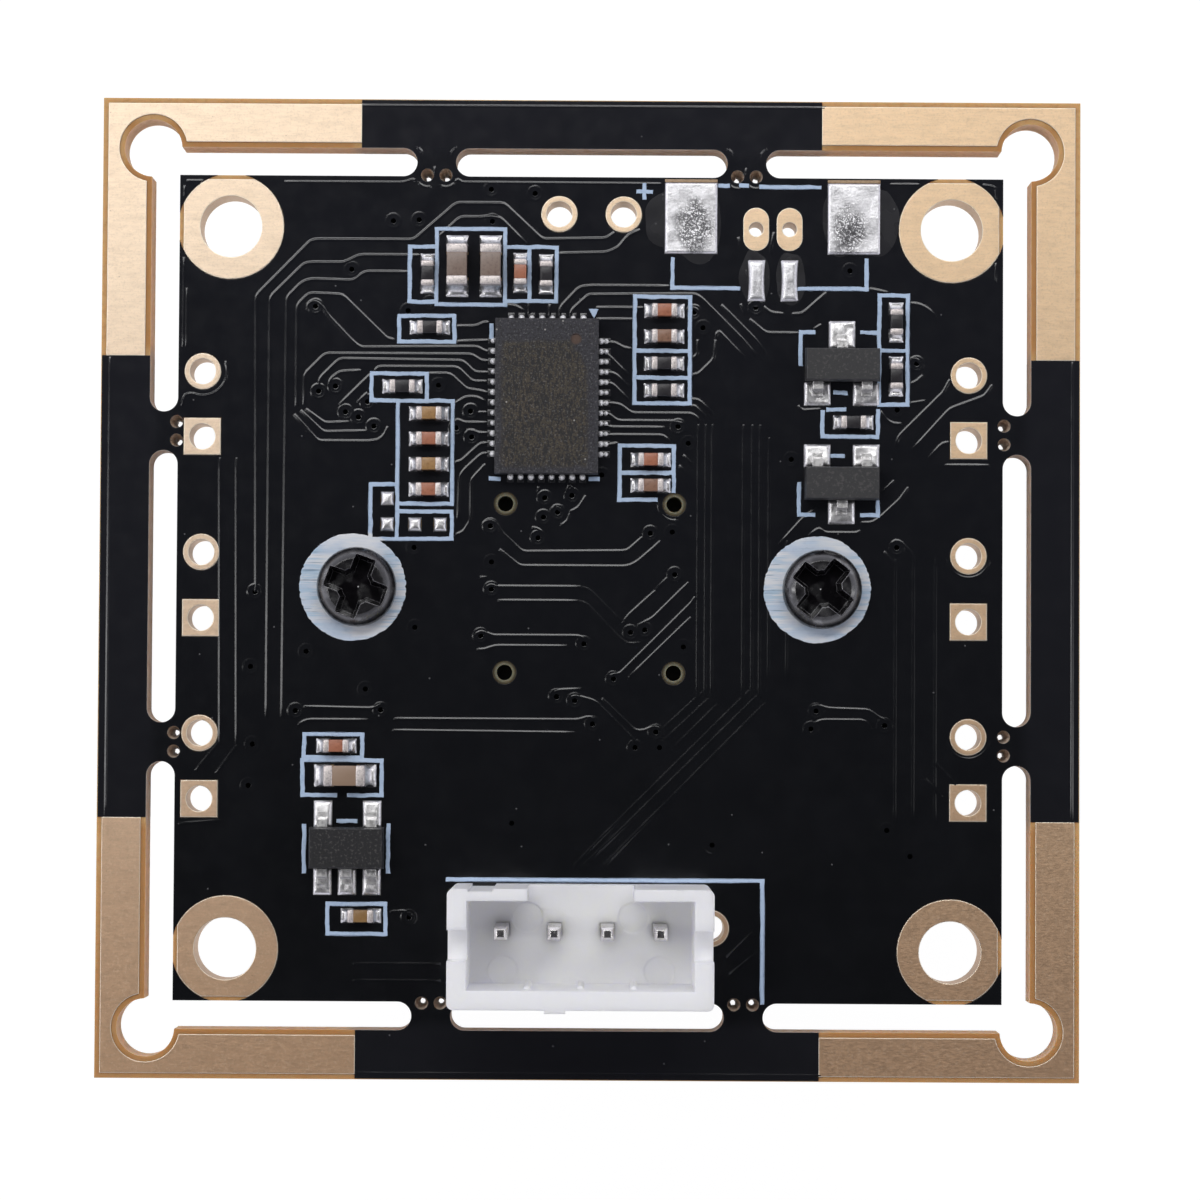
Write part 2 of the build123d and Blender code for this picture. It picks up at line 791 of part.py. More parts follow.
# Connector housing: an open-topped shroud with a gap in its back wall
housing_plane = Plane((connector_centre_x, housing_centre_y, mask_top))
cavity_width = housing_width - 2 * housing_wall
cavity_depth = housing_depth - housing_wall - housing_back_wall
cavity_shift = (housing_wall - housing_back_wall) / 2
cavity_height = housing_height - housing_floor
cavity_front = -housing_depth / 2 + housing_wall
with BuildPart() as connector_housing:
    with BuildSketch(housing_plane):
        RectangleRounded(housing_width, housing_depth, housing_corner)
    extrude(amount=housing_height)
    with BuildSketch(housing_plane.offset(housing_floor)):
        with Locations((0, cavity_shift)):
            Rectangle(cavity_width, cavity_depth)
    extrude(amount=cavity_height, mode=Mode.SUBTRACT)
    with BuildSketch(housing_plane.offset(housing_floor)):
        with Locations((0, housing_depth / 2 - housing_back_wall / 2)):
            Rectangle(back_gap_width, housing_back_wall)
    extrude(amount=cavity_height, mode=Mode.SUBTRACT)
    with BuildSketch(housing_plane.offset(housing_height - end_notch_depth)):
        for side in (-1, 1):
            with Locations((side * (housing_width - housing_wall) / 2, cavity_shift)):
                Rectangle(housing_wall, end_notch_width)
    extrude(amount=end_notch_depth, mode=Mode.SUBTRACT)
    with BuildSketch(housing_plane.offset(housing_floor)):
        with Locations(*[(x - connector_centre_x + pin_pitch / 2, cavity_front) for x in pin_x[:-1]]):
            Circle(polarising_rib_radius)
    extrude(amount=cavity_height - end_notch_depth)
    with BuildSketch(housing_plane.offset(housing_floor)):
        with Locations(*ejector_points):
            Circle(ejector_radius)
    extrude(amount=-ejector_depth, mode=Mode.SUBTRACT)
    with BuildSketch(housing_plane):
        with Locations(*[(x - connector_centre_x, pin_row_y - housing_centre_y) for x in pin_x]):
            Rectangle(pin_side + 2 * pin_clearance, pin_side + 2 * pin_clearance)
    extrude(amount=housing_floor, mode=Mode.SUBTRACT)
    with BuildSketch(housing_plane.offset(housing_height - gate_mark[2])):
        with Locations((gate_x, -housing_depth / 2)):
            Rectangle(gate_mark[0], 2 * gate_mark[1])
    extrude(amount=gate_mark[2])
    with BuildSketch(housing_plane):
        with Locations((drain_notch_x - connector_centre_x, housing_depth / 2)):
            Rectangle(drain_notch[0], 2 * drain_notch[1])
    extrude(amount=housing_height, mode=Mode.SUBTRACT)
    rim = connector_housing.faces().filter_by(Plane.XY).sort_by(Axis.Z)[-1]
    chamfer(rim.edges().filter_by(Axis.X).group_by(Axis.Y)[0], length=housing_bevel)
finish(connector_housing, "connector_housing")

# Connector pins: square wire with pointed tips, through the board
pin_bottom = front_face - pin_tail
with BuildPart() as connector_pins:
    with BuildSketch(Plane.XY.offset(pin_bottom)):
        with Locations(*pin_points):
            Rectangle(pin_side, pin_side)
    extrude(amount=pin_top - pin_bottom)
    tips = connector_pins.faces().filter_by(Plane.XY).group_by(Axis.Z)
    chamfer(tips[-1].edges() + tips[0].edges(), length=pin_point)
finish(connector_pins, "connector_pins")

# Solder cones round the pin tails on the lens side
with BuildPart() as pin_solder_cones:
    with BuildSketch(Plane.XY.offset(front_face)):
        with Locations(*pin_points):
            Circle(pad_ring_radius)
    extrude(amount=-plating_thickness)
    with BuildSketch(Plane.XY.offset(front_face - plating_thickness)):
        with Locations(*pin_points):
            Circle(pad_ring_radius)
    extrude(amount=-cone_height, taper=cone_taper)
    with BuildSketch(Plane.XY.offset(pin_bottom)):
        with Locations(*pin_points):
            Rectangle(pin_side, pin_side)
    extrude(amount=pin_tail, mode=Mode.SUBTRACT)
finish(pin_solder_cones, "pin_solder_cones")

# Holder screws: pan heads with a cross recess, through the board into the holder
head_seat = mask_top + legend_thickness
head_top = head_seat + screw_head_height
screw_end = head_seat - screw_length
crown_radius = screw_head_radius - head_crown
with BuildPart() as screw_blank:
    with BuildSketch(Plane.XZ):
        with BuildLine():
            Polyline(
                (0, head_top),
                (0, screw_end),
                (screw_core_radius - screw_point, screw_end),
                (screw_core_radius, screw_end + screw_point_length),
                (screw_core_radius, head_seat),
                (screw_head_radius, head_seat),
                (screw_head_radius, head_seat + head_side),
            )
            RadiusArc(
                (screw_head_radius, head_seat + head_side),
                (crown_radius, head_top),
                -head_crown_radius,
            )
            Line((crown_radius, head_top), (0, head_top))
        make_face()
    revolve(axis=Axis.Z)
    with BuildSketch(Plane.XY.offset(head_top)):
        Rectangle(recess_span, recess_arm_width)
        Rectangle(recess_arm_width, recess_span)
        Circle(recess_core_radius)
    extrude(amount=-recess_depth, taper=recess_taper, mode=Mode.SUBTRACT)
with BuildPart() as holder_screws:
    for (x, y), turn in zip(screw_points, recess_turns):
        with Locations(Location((x, y, 0), (0, 0, turn))):
            add(screw_blank.part)
finish(holder_screws, "holder_screws")

# Lens holder: a square box below the board with two screw ears and a threaded tower
base_bottom = holder_seat - holder_base_height
tower_bottom = base_bottom - holder_tower_height
shelf_top = holder_seat - filter_shelf_depth
shelf_bottom = shelf_top - filter_shelf_thickness
thread_bore_radius = thread_radius + thread_clearance
holder_inside = holder_base_side - 2 * holder_wall
with BuildPart() as lens_holder:
    with BuildSketch(Plane.XY.offset(base_bottom)):
        RectangleRounded(holder_base_side, holder_base_side, holder_corner_radius)
    extrude(amount=holder_base_height)
    with BuildSketch(Plane.XY.offset(holder_seat)):
        SlotOverall(screw_pitch + 2 * holder_ear_radius, 2 * holder_ear_radius)
    extrude(amount=-holder_ear_height)
    with BuildSketch(Plane.XY.offset(tower_bottom)):
        Circle(holder_tower_radius)
    extrude(amount=holder_tower_height)
    with BuildSketch(Plane.XY.offset(holder_seat)):
        Rectangle(holder_inside, holder_inside)
    extrude(amount=-filter_shelf_depth, mode=Mode.SUBTRACT)
    with BuildSketch(Plane.XY.offset(shelf_top)):
        Rectangle(filter_aperture, filter_aperture)
    extrude(amount=-filter_shelf_thickness, mode=Mode.SUBTRACT)
    with BuildSketch(Plane.XY.offset(shelf_bottom)):
        Circle(thread_bore_radius)
    extrude(amount=tower_bottom - shelf_bottom, mode=Mode.SUBTRACT)
    with BuildSketch(Plane.XY.offset(holder_seat)):
        with Locations(*screw_points):
            Circle(holder_screw_bore)
    extrude(amount=-holder_screw_bore_depth, mode=Mode.SUBTRACT)
    tower_rim = lens_holder.edges().filter_by(GeomType.CIRCLE).group_by(Axis.Z)[0]
    chamfer(tower_rim, length=tower_chamfer)
finish(lens_holder, "lens_holder")

# Image sensor: a ceramic tray, its silicon die and its cover glass
sensor_base = holder_seat
sensor_mouth = sensor_base - sensor_height
with BuildPart() as sensor_package:
    with BuildSketch(Plane.XY.offset(sensor_mouth)):
        Rectangle(sensor_side, sensor_side)
    extrude(amount=sensor_height)
    with BuildSketch(Plane.XY.offset(sensor_mouth)):
        Rectangle(sensor_side - 2 * cover_glass_ledge, sensor_side - 2 * cover_glass_ledge)
    extrude(amount=cover_glass_thickness, mode=Mode.SUBTRACT)
    with BuildSketch(Plane.XY.offset(sensor_mouth)):
        Rectangle(sensor_side - 2 * sensor_wall, sensor_side - 2 * sensor_wall)
    extrude(amount=sensor_height - sensor_floor, mode=Mode.SUBTRACT)
finish(sensor_package, "sensor_package")

with BuildPart() as sensor_die:
    with BuildSketch(Plane.XY.offset(sensor_base - sensor_floor)):
        Rectangle(die_side, die_side)
    extrude(amount=-die_height)
finish(sensor_die, "sensor_die")

with BuildPart() as sensor_cover_glass:
    with BuildSketch(Plane.XY.offset(sensor_mouth)):
        Rectangle(sensor_side - 2 * cover_glass_ledge, sensor_side - 2 * cover_glass_ledge)
    extrude(amount=cover_glass_thickness)
finish(sensor_cover_glass, "sensor_cover_glass")

with BuildPart() as infrared_filter:
    with BuildSketch(Plane.XY.offset(shelf_top)):
        Rectangle(filter_side, filter_side)
    extrude(amount=filter_thickness)
finish(infrared_filter, "infrared_filter")

# Lens barrel: thread, gripped head, and the stepped bore that holds the glass
barrel_rear = holder_seat - barrel_rear_below_board
flange = barrel_rear - barrel_thread_length
barrel_front = flange - barrel_head_length
ring_top = barrel_front + ring_recess + ring_thickness
front_seat = ring_top + front_element_edge
middle_front = front_seat + spacer_length
middle_seat = middle_front + middle_element_edge
rear_front = barrel_rear - element_lip - rear_element_edge


def turned(*profile_points):
    """A turned piece, from the (radius, height) points of its profile."""
    with BuildPart() as piece:
        with BuildSketch(Plane.XZ):
            with BuildLine():
                Polyline(*profile_points, close=True)
            make_face()
        revolve(axis=Axis.Z)
    return piece


barrel_blank = turned(
    (rear_element_radius - element_lip, barrel_rear),
    (thread_radius - thread_lead_in, barrel_rear),
    (thread_radius, barrel_rear - thread_lead_in),
    (thread_radius, flange),
    (barrel_head_radius - head_chamfer, flange),
    (barrel_head_radius, flange - head_chamfer),
    (barrel_head_radius, barrel_front + head_chamfer),
    (barrel_head_radius - head_chamfer, barrel_front),
    (front_element_radius + fit_gap, barrel_front),
    (front_element_radius + fit_gap, front_seat + fit_gap),
    (middle_element_radius + fit_gap, front_seat + fit_gap),
    (middle_element_radius + fit_gap, middle_seat + fit_gap),
    (rear_element_radius + fit_gap, middle_seat + fit_gap),
    (rear_element_radius + fit_gap, barrel_rear - element_lip + fit_gap),
    (rear_element_radius - element_lip, barrel_rear - element_lip + fit_gap),
)
with BuildPart() as lens_barrel:
    add(barrel_blank.part)
    with BuildSketch(Plane.XY.offset(barrel_front + head_chamfer)):
        with PolarLocations(barrel_head_radius + grip_notch_radius / 2, grip_notches):
            Circle(grip_notch_radius)
    extrude(amount=barrel_head_length - 2 * head_chamfer, mode=Mode.SUBTRACT)
finish(lens_barrel, "lens_barrel")

ring_bottom = barrel_front + ring_recess
retaining_ring = turned(
    (front_element_radius - ring_width, ring_bottom + ring_bevel),
    (front_element_radius - ring_land, ring_bottom),
    (front_element_radius + fit_gap, ring_bottom),
    (front_element_radius + fit_gap, ring_top - fit_gap),
    (front_element_radius - ring_width, ring_top - fit_gap),
)
finish(retaining_ring, "retaining_ring")


def curved_face(dome_radius, level, sag):
    """Half of a lens face, from its flat rim to the axis: an arc, or a line where it is flat."""
    if sag:
        sphere = (dome_radius**2 + sag**2) / (2 * sag)
        half_turn = asin(dome_radius / sphere) / 2
        middle = (sphere * sin(half_turn), level + sag - sphere * (1 - cos(half_turn)))
        ThreePointArc((dome_radius, level), middle, (0, level + sag))
    else:
        Line((dome_radius, level), (0, level))


def lens_element(radius, rim, front, edge, front_sag, back_sag):
    """A round lens with a flat rim on both faces, its front below and its back above."""
    dome_radius = radius - rim
    with BuildPart() as glass:
        with BuildSketch(Plane.XZ):
            with BuildLine():
                curved_face(dome_radius, front, -front_sag)
                Line((dome_radius, front), (radius, front))
                Line((radius, front), (radius, front + edge))
                Line((radius, front + edge), (dome_radius, front + edge))
                curved_face(dome_radius, front + edge, back_sag)
                Line((0, front + edge + back_sag), (0, front - front_sag))
            make_face()
        revolve(axis=Axis.Z)
    return glass


finish(
    lens_element(
        front_element_radius,
        ring_width,
        ring_top,
        front_element_edge,
        front_element_dome,
        front_element_back,
    ),
    "front_lens_element",
)
finish(
    lens_element(
        middle_element_radius,
        spacer_wall,
        middle_front,
        middle_element_edge,
        middle_element_dome,
        middle_element_back,
    ),
    "middle_lens_element",
)
finish(
    lens_element(
        rear_element_radius,
        element_lip,
        rear_front,
        rear_element_edge,
        0,
        rear_element_dome,
    ),
    "rear_lens_element",
)

element_spacer = turned(
    (middle_element_radius - spacer_wall, front_seat),
    (middle_element_radius, front_seat),
    (middle_element_radius, middle_front),
    (middle_element_radius - spacer_wall, middle_front),
)
finish(element_spacer, "element_spacer")

# Legend: printed boxes round the chips, brackets and dashes, as (left, bottom, right, top)
legend_boxes = [
    (-7.05, 11.1, -6.0, 13.25),
    (-6.0, 11.0, -3.35, 13.95),
    (-3.35, 11.15, -1.35, 13.25),
    (-7.45, 9.55, -5.3, 10.55),
    (-8.5, 7.25, -6.35, 8.3),
    (-7.47, 3.25, -5.35, 7.25),
    (-8.5, 1.88, -7.47, 4.0),
    (-7.47, 1.88, -5.35, 2.95),
    (1.7, 7.2, 3.85, 11.35),
    (11.2, 7.2, 12.3, 11.45),
    (-11.0, -6.6, -8.75, -5.7),
    (-10.05, -13.4, -7.8, -12.25),
]
legend_runs = [
    [(-2.4, 11.15), (-2.4, 13.25)],
    [(1.7, 9.25), (3.85, 9.25)],
    [(1.7, 8.2), (3.85, 8.2)],
    [(3.25, 3.8), (3.25, 5.55), (1.15, 5.55), (1.15, 3.45), (2.55, 3.45)],
    [(1.15, 4.5), (3.25, 4.5)],
    [(11.2, 9.3), (12.3, 9.3)],
    [(3.15, 12.8), (3.15, 11.7), (5.7, 11.7)],
    [(8.1, 11.7), (10.7, 11.7), (10.7, 12.8)],
    [(6.6, 15.65), (8.85, 15.65)],
    [(5.0, 15.7), (5.3, 15.7)],
    [(5.8, 15.7), (6.05, 15.7)],
    [(8.15, 8.75), (8.15, 10.0), (8.65, 10.0)],
    [(10.55, 10.0), (11.05, 10.0)],
    [(9.5, 7.65), (9.9, 7.65)],
    [(9.2, 7.0), (9.85, 7.0)],
    [(9.0, 6.9), (9.0, 5.95), (11.15, 5.95), (11.15, 6.95)],
    [(9.4, 5.2), (9.8, 5.2)],
    [(8.1, 4.1), (8.1, 2.9), (8.65, 2.9)],
    [(10.55, 2.9), (11.15, 2.9), (11.15, 3.5)],
    [(-9.8, -8.05), (-11.05, -8.05), (-11.05, -6.7), (-8.0, -6.7), (-8.0, -8.05), (-9.25, -8.05)],
    [(-10.97, -9.25), (-10.97, -11.0)],
    [(-7.72, -9.2), (-7.72, -11.0)],
    [(-9.65, -9.05), (-9.0, -9.05)],
    [(-5.4, -11.28), (6.75, -11.28), (6.75, -15.95)],
    [(-3.85, 9.75), (-3.85, 10.2)],
    [(-3.85, 4.24), (-3.55, 4.24)],
    [(0.02, 4.24), (0.3, 4.24)],
    [(1.8, 15.45), (2.3, 15.45)],
    [(2.05, 15.2), (2.05, 15.7)],
]
pin_one_mark = [(-0.1, 10.85), (0.3, 10.85), (0.12, 10.5)]


def legend_stroke(start, end):
    """One printed line with round ends, in the sketch that is open."""
    run = Vector(*end) - Vector(*start)
    middle = (Vector(*end) + Vector(*start)) * 0.5
    angle = Vector(1, 0, 0).get_signed_angle(run, Vector(0, 0, 1))
    with Locations(Location((middle.X, middle.Y, 0), (0, 0, angle))):
        Rectangle(run.length + legend_line, legend_line)


with BuildPart() as printed_legend:
    with BuildSketch(Plane.XY.offset(mask_top)):
        for left, bottom, right, top in legend_boxes:
            corners = [(left, bottom), (right, bottom), (right, top), (left, top), (left, bottom)]
            for start, end in zip(corners, corners[1:]):
                legend_stroke(start, end)
        for run in legend_runs:
            for start, end in zip(run, run[1:]):
                legend_stroke(start, end)
        with BuildLine():
            Polyline(*pin_one_mark, close=True)
        make_face()
        for x, y in screw_points:
            with Locations((x + legend_ring_shift, y)):
                Circle(legend_ring_radius)
        with Locations(*screw_points):
            Circle(legend_ring_hole, mode=Mode.SUBTRACT)
    extrude(amount=legend_thickness)
finish(printed_legend, "printed_legend")
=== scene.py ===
"""Looks of the camera module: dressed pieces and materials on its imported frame.

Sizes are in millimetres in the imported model's frame, and become metres as each piece is made.
"""

import json
import math
import random

import bmesh
import bpy
from mathutils import Matrix, Vector, noise


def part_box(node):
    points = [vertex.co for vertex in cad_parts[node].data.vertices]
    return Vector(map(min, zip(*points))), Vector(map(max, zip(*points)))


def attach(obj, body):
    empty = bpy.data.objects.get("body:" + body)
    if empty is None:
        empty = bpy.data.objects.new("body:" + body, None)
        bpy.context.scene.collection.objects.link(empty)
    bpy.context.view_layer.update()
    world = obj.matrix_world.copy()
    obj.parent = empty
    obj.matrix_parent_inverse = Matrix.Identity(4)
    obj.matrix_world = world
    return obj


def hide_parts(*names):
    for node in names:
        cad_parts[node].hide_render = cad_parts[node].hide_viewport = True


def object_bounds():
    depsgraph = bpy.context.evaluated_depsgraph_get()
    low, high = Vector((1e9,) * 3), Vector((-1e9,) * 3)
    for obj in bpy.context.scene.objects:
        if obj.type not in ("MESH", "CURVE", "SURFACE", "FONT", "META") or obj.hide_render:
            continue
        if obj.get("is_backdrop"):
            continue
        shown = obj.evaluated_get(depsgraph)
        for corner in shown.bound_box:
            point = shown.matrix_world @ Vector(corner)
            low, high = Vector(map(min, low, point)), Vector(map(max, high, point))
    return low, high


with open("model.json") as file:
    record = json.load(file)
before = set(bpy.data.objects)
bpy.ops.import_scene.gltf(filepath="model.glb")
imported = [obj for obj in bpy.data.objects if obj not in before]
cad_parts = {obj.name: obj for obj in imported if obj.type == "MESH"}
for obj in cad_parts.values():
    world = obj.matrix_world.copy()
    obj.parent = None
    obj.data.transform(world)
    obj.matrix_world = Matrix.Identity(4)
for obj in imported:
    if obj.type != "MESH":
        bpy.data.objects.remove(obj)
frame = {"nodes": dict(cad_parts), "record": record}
cad_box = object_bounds()
random.seed(7)
noise.seed_set(7)

MM = 0.001
mask_top = 0.04
mask_bottom = -1.64
track_width = 0.19
track_height = 0.02
faint_height = 0.015
plane_edge_width = 0.14
level_edge_height = 0.0136  # plane edges that run along X
post_reach = 3.27  # the four holder posts' holes, from the middle along X and along Y
screw_reach = 9.0  # the holder screws, from the middle of the printed rings along X
ring_middle = -0.17
tab_middle = 6.03  # the drilled tabs, from the middle along each side
bite_reach = 0.36  # a tab's two bites, from its middle
bite_line = 16.05
bite_edge = (16.02, 0.44)  # the plane's edge round a bite: its Y and its radius
slot_edge = (1.1, 16.6, 0.62)  # round a slot's end: from the tab's middle, its Y and its radius
cable_lands = (3.87, 10.2)
cable_land_size = (2.05, 2.78)
cable_land_y = 14.42
bare_edge_y = 15.88
wire_lands = (6.42, 7.7)
wire_land_size = (0.7, 1.62)
wire_land_y = 12.0
open_lands = ((-7.85, 3.45), (-7.85, 2.45), (-6.78, 2.45), (-5.8, 2.45))
open_land_size = (0.52, 0.54)
transistors = ((9.75, 8.7, 1), (9.75, 4.1, -1))  # x, y, side of the single leg
regulator = (-9.3, -10.08)
leg_step = 0.95
lead_pitch = 0.4
thread_pitch = 0.5


def srgb(red, green, blue):
    """Linear colour from the three display values."""
    return tuple(
        v / 255 / 12.92 if v / 255 <= 0.04045 else ((v / 255 + 0.055) / 1.055) ** 2.4
        for v in (red, green, blue)
    )


def node_box(name):
    """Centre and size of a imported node, in millimetres."""
    low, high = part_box(name)
    return (low + high) / 2 / MM, (high - low) / MM


class Paint:
    """One procedural material, with its texture place in millimetres."""

    def __init__(self, name, colour, roughness, metallic=0.0, **sockets):
        self.material = bpy.data.materials.new(name)
        self.material.use_nodes = True
        self.tree = self.material.node_tree
        self.shader = self.tree.nodes["Principled BSDF"]
        self.shader.inputs["Base Color"].default_value = (*colour, 1)
        self.shader.inputs["Roughness"].default_value = roughness
        self.shader.inputs["Metallic"].default_value = metallic
        for socket, value in sockets.items():
            self.shader.inputs[socket.replace("_", " ")].default_value = value
        self.colour = (*colour, 1)
        coordinates = self.add("TexCoord")
        scaled = self.add("VectorMath", operation="SCALE")
        scaled.inputs["Scale"].default_value = 1 / MM
        self.link(coordinates.outputs["Object"], scaled.inputs[0])
        self.place = scaled.outputs[0]
        parts = self.add("SeparateXYZ")
        self.link(self.place, parts.inputs[0])
        self.x, self.y, self.z = parts.outputs

    def add(self, kind, **settings):
        node = self.tree.nodes.new("ShaderNode" + kind)
        for name, value in settings.items():
            setattr(node, name, value)
        return node

    def link(self, source, target):
        if isinstance(source, bpy.types.NodeSocket):
            self.tree.links.new(source, target)
        else:
            target.default_value = source

    def stretched(self, stretch):
        node = self.add("VectorMath", operation="MULTIPLY")
        self.link(self.place, node.inputs[0])
        node.inputs[1].default_value = stretch
        return node.outputs[0]

    def noise(self, scale, detail=2.0, stretch=None, roughness=0.55):
        node = self.add("TexNoise")
        self.link(self.stretched(stretch) if stretch else self.place, node.inputs["Vector"])
        node.inputs["Scale"].default_value = scale
        node.inputs["Detail"].default_value = detail
        node.inputs["Roughness"].default_value = roughness
        return node.outputs["Fac"]

    def cells(self, scale):
        node = self.add("TexVoronoi", voronoi_dimensions="2D")
        self.link(self.place, node.inputs["Vector"])
        node.inputs["Scale"].default_value = scale
        return node.outputs["Distance"]

    def math(self, operation, a, b):
        node = self.add("Math", operation=operation)
        self.link(a, node.inputs[0])
        self.link(b, node.inputs[1])
        return node.outputs[0]

    def ease(self, value, low, high, start=0.0, end=1.0):
        node = self.add("MapRange", interpolation_type="SMOOTHSTEP")
        self.link(value, node.inputs["Value"])
        for name, number in (("From Min", low), ("From Max", high), ("To Min", start), ("To Max", end)):
            node.inputs[name].default_value = number
        return node.outputs["Result"]

    def band(self, value, low, high, soft):
        """1 between the two limits and 0 beyond them, with soft ends."""
        rise = self.ease(value, low - soft, low + soft)
        return self.product(rise, self.ease(value, high - soft, high + soft, 1.0, 0.0))

    def edge_glint(self, radius):
        """How near a sharp edge is, from 0 on a flat face to about 0.3 on the edge; the paints use it to lay
        painted highlights along edges.
        """
        rounding = self.add("Bevel", samples=16)
        rounding.inputs["Radius"].default_value = radius * MM
        geometry = self.add("NewGeometry")
        product = self.add("VectorMath", operation="DOT_PRODUCT")
        self.link(rounding.outputs[0], product.inputs[0])
        self.link(geometry.outputs["Normal"], product.inputs[1])
        return self.math("SUBTRACT", 1.0, product.outputs["Value"])

    def absolute(self, value):
        return self.math("ABSOLUTE", value, 0.0)

    def product(self, a, b):
        return self.math("MULTIPLY", a, b)

    def span(self, x, y):
        """Length of the line that goes x along one axis and y along the other."""
        return self.math("SQRT", self.math("ADD", self.product(x, x), self.product(y, y)), 0.0)

    def oval(self, x, y, radius_x, radius_y, mirrored=False):
        """Distance from an oval's centre, 1 on its outline; mirrored takes the four corners alike."""
        parts = []
        for axis, centre, radius in ((self.x, x, radius_x), (self.y, y, radius_y)):
            base = self.absolute(axis) if mirrored else axis
            parts.append(self.math("DIVIDE", self.math("SUBTRACT", base, centre), radius))
        return self.span(*parts)

    def facing(self):
        node = self.add("NewGeometry")
        parts = self.add("SeparateXYZ")
        self.link(node.outputs["Normal"], parts.inputs[0])
        return parts.outputs["Z"]

    def layer(self, factor, colour):
        """Lay a colour over what is there, as far as the factor says."""
        node = self.add("Mix", data_type="RGBA")
        self.link(factor, node.inputs[0])
        self.link(self.colour, node.inputs[6])
        node.inputs[7].default_value = (*colour, 1)
        self.colour = node.outputs[2]
        self.link(self.colour, self.shader.inputs["Base Color"])

    def grain(self, texture, limits, share, colour):
        """Lay a share of the colour over the places where that noise rises past its limits."""
        self.layer(self.ease(self.noise(*texture), *limits, 0.0, share), colour)

    def specks(self, scale, limits, share, colour):
        """Lay a share of the colour on small scattered dots."""
        self.layer(self.ease(self.cells(scale), *limits, share, 0.0), colour)

    def rough(self, texture, low, high):
        """Let the roughness wander between two values."""
        self.link(self.ease(self.noise(*texture), 0.25, 0.75, low, high), self.shader.inputs["Roughness"])

    def bump(self, height, distance, edge=0.0):
        """Relief of that height in millimetres, with sharp edges rounded by that radius."""
        node = self.add("Bump")
        node.inputs["Strength"].default_value = 1.0
        node.inputs["Distance"].default_value = distance * MM
        self.link(height, node.inputs["Height"])
        if edge:
            rounding = self.add("Bevel", samples=6)
            rounding.inputs["Radius"].default_value = edge * MM
            self.link(rounding.outputs[0], node.inputs["Normal"])
        self.link(node.outputs[0], self.shader.inputs["Normal"])

    def relief(self, texture, distance, edge=0.0):
        """Relief of that noise."""
        self.bump(self.noise(*texture), distance, edge)


class Shape:
    """Points and faces of one piece, in millimetres."""

    def __init__(self):
        self.points = []
        self.faces = []
        self.paints = []

    def add(self, form, paint=0, place=None):
        points, faces = form
        base = len(self.points)
        self.points += [place @ Vector(p) if place else Vector(p) for p in points]
        self.faces += [[base + index for index in face] for face in faces]
        self.paints += [paint] * len(faces)

    def piece(self, name, paints, slot, replaced=()):
        mesh = bpy.data.meshes.new(name)
        mesh.from_pydata([p * MM for p in self.points], [], self.faces)
        for paint in paints:
            mesh.materials.append(paint.material)
        mesh.polygons.foreach_set("material_index", self.paints)
        mesh.polygons.foreach_set("use_smooth", [True] * len(self.faces))
        mesh.update()
        made = bpy.data.objects.new(name, mesh)
        bpy.context.scene.collection.objects.link(made)
        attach(made, "module")
        if replaced:
            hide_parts(*replaced)


def grid(columns, rows, point):
    """A sheet of faces; point(u, v) gives a place for u and v from 0 to 1."""
    points = [point(c / columns, r / rows) for r in range(rows + 1) for c in range(columns + 1)]
    wide = columns + 1
    faces = [
        [r * wide + c, r * wide + c + 1, (r + 1) * wide + c + 1, (r + 1) * wide + c]
        for r in range(rows)
        for c in range(columns)
    ]
    return points, faces


def block(length, width, height, radius, segments=2):
    """A block that stands on z = 0, with rounded edges."""
    shape = bmesh.new()
    size = Matrix.LocRotScale(Vector((0, 0, height / 2)), None, Vector((length, width, height)))
    bmesh.ops.create_cube(shape, size=1, matrix=size)
    bmesh.ops.bevel(shape, geom=shape.edges[:], offset=radius, segments=segments, affect="EDGES", profile=0.5)
    shape.verts.index_update()
    form = [v.co.copy() for v in shape.verts], [[v.index for v in f.verts] for f in shape.faces]
    shape.free()
    return form


def turned(profile, segments):
    """A turned sheet from (radius, height) points."""
    def point(u, v):
        step = v * (len(profile) - 1)
        index = min(int(step), len(profile) - 2)
        share = step - index
        radius = profile[index][0] * (1 - share) + profile[index + 1][0] * share
        height = profile[index][1] * (1 - share) + profile[index + 1][1] * share
        angle = u * math.tau
        return radius * math.cos(angle), radius * math.sin(angle), height
    return grid(segments, len(profile) - 1, point)


def eased(points):
    """The run with its corners cut to a short curve, and a point just inside each end."""
    reach = 0.16
    points = [Vector(p) for p in points]
    run = [points[0], points[0] + (points[1] - points[0]).normalized() * 0.07]
    for before, corner, after in zip(points, points[1:], points[2:]):
        cut = min(reach, (before - corner).length * 0.45, (after - corner).length * 0.45)
        near = corner + (before - corner).normalized() * cut
        far = corner + (after - corner).normalized() * cut
        run += [near, near * 0.25 + corner * 0.5 + far * 0.25, far]
    run += [points[-1] + (points[-2] - points[-1]).normalized() * 0.07, points[-1]]
    fine = run[:1]
    for start, end in zip(run, run[1:]):
        parts = max(1, round((end - start).length / 0.4))
        fine += [start.lerp(end, (i + 1) / parts) for i in range(parts)]
    return fine


def ridge(points, width, height, level):
    """A raised track with a rounded section along a run, on a face at that level."""
    run = eased(points)
    across = 8
    ways = [(b - a).normalized() for a, b in zip(run, run[1:])]
    ways = [ways[0]] + [(a + b).normalized() for a, b in zip(ways, ways[1:])] + [ways[-1]]
    last = len(run) - 1

    def point(u, v):
        index = round(v * last)
        side = u - 0.5
        rise = 0 if index in (0, last) else height * (0.5 + 0.5 * math.cos(math.tau * side))
        place = run[index] + Vector((ways[index].y, -ways[index].x)) * side * width
        return place.x, place.y, level + rise
    return grid(across, last, point)


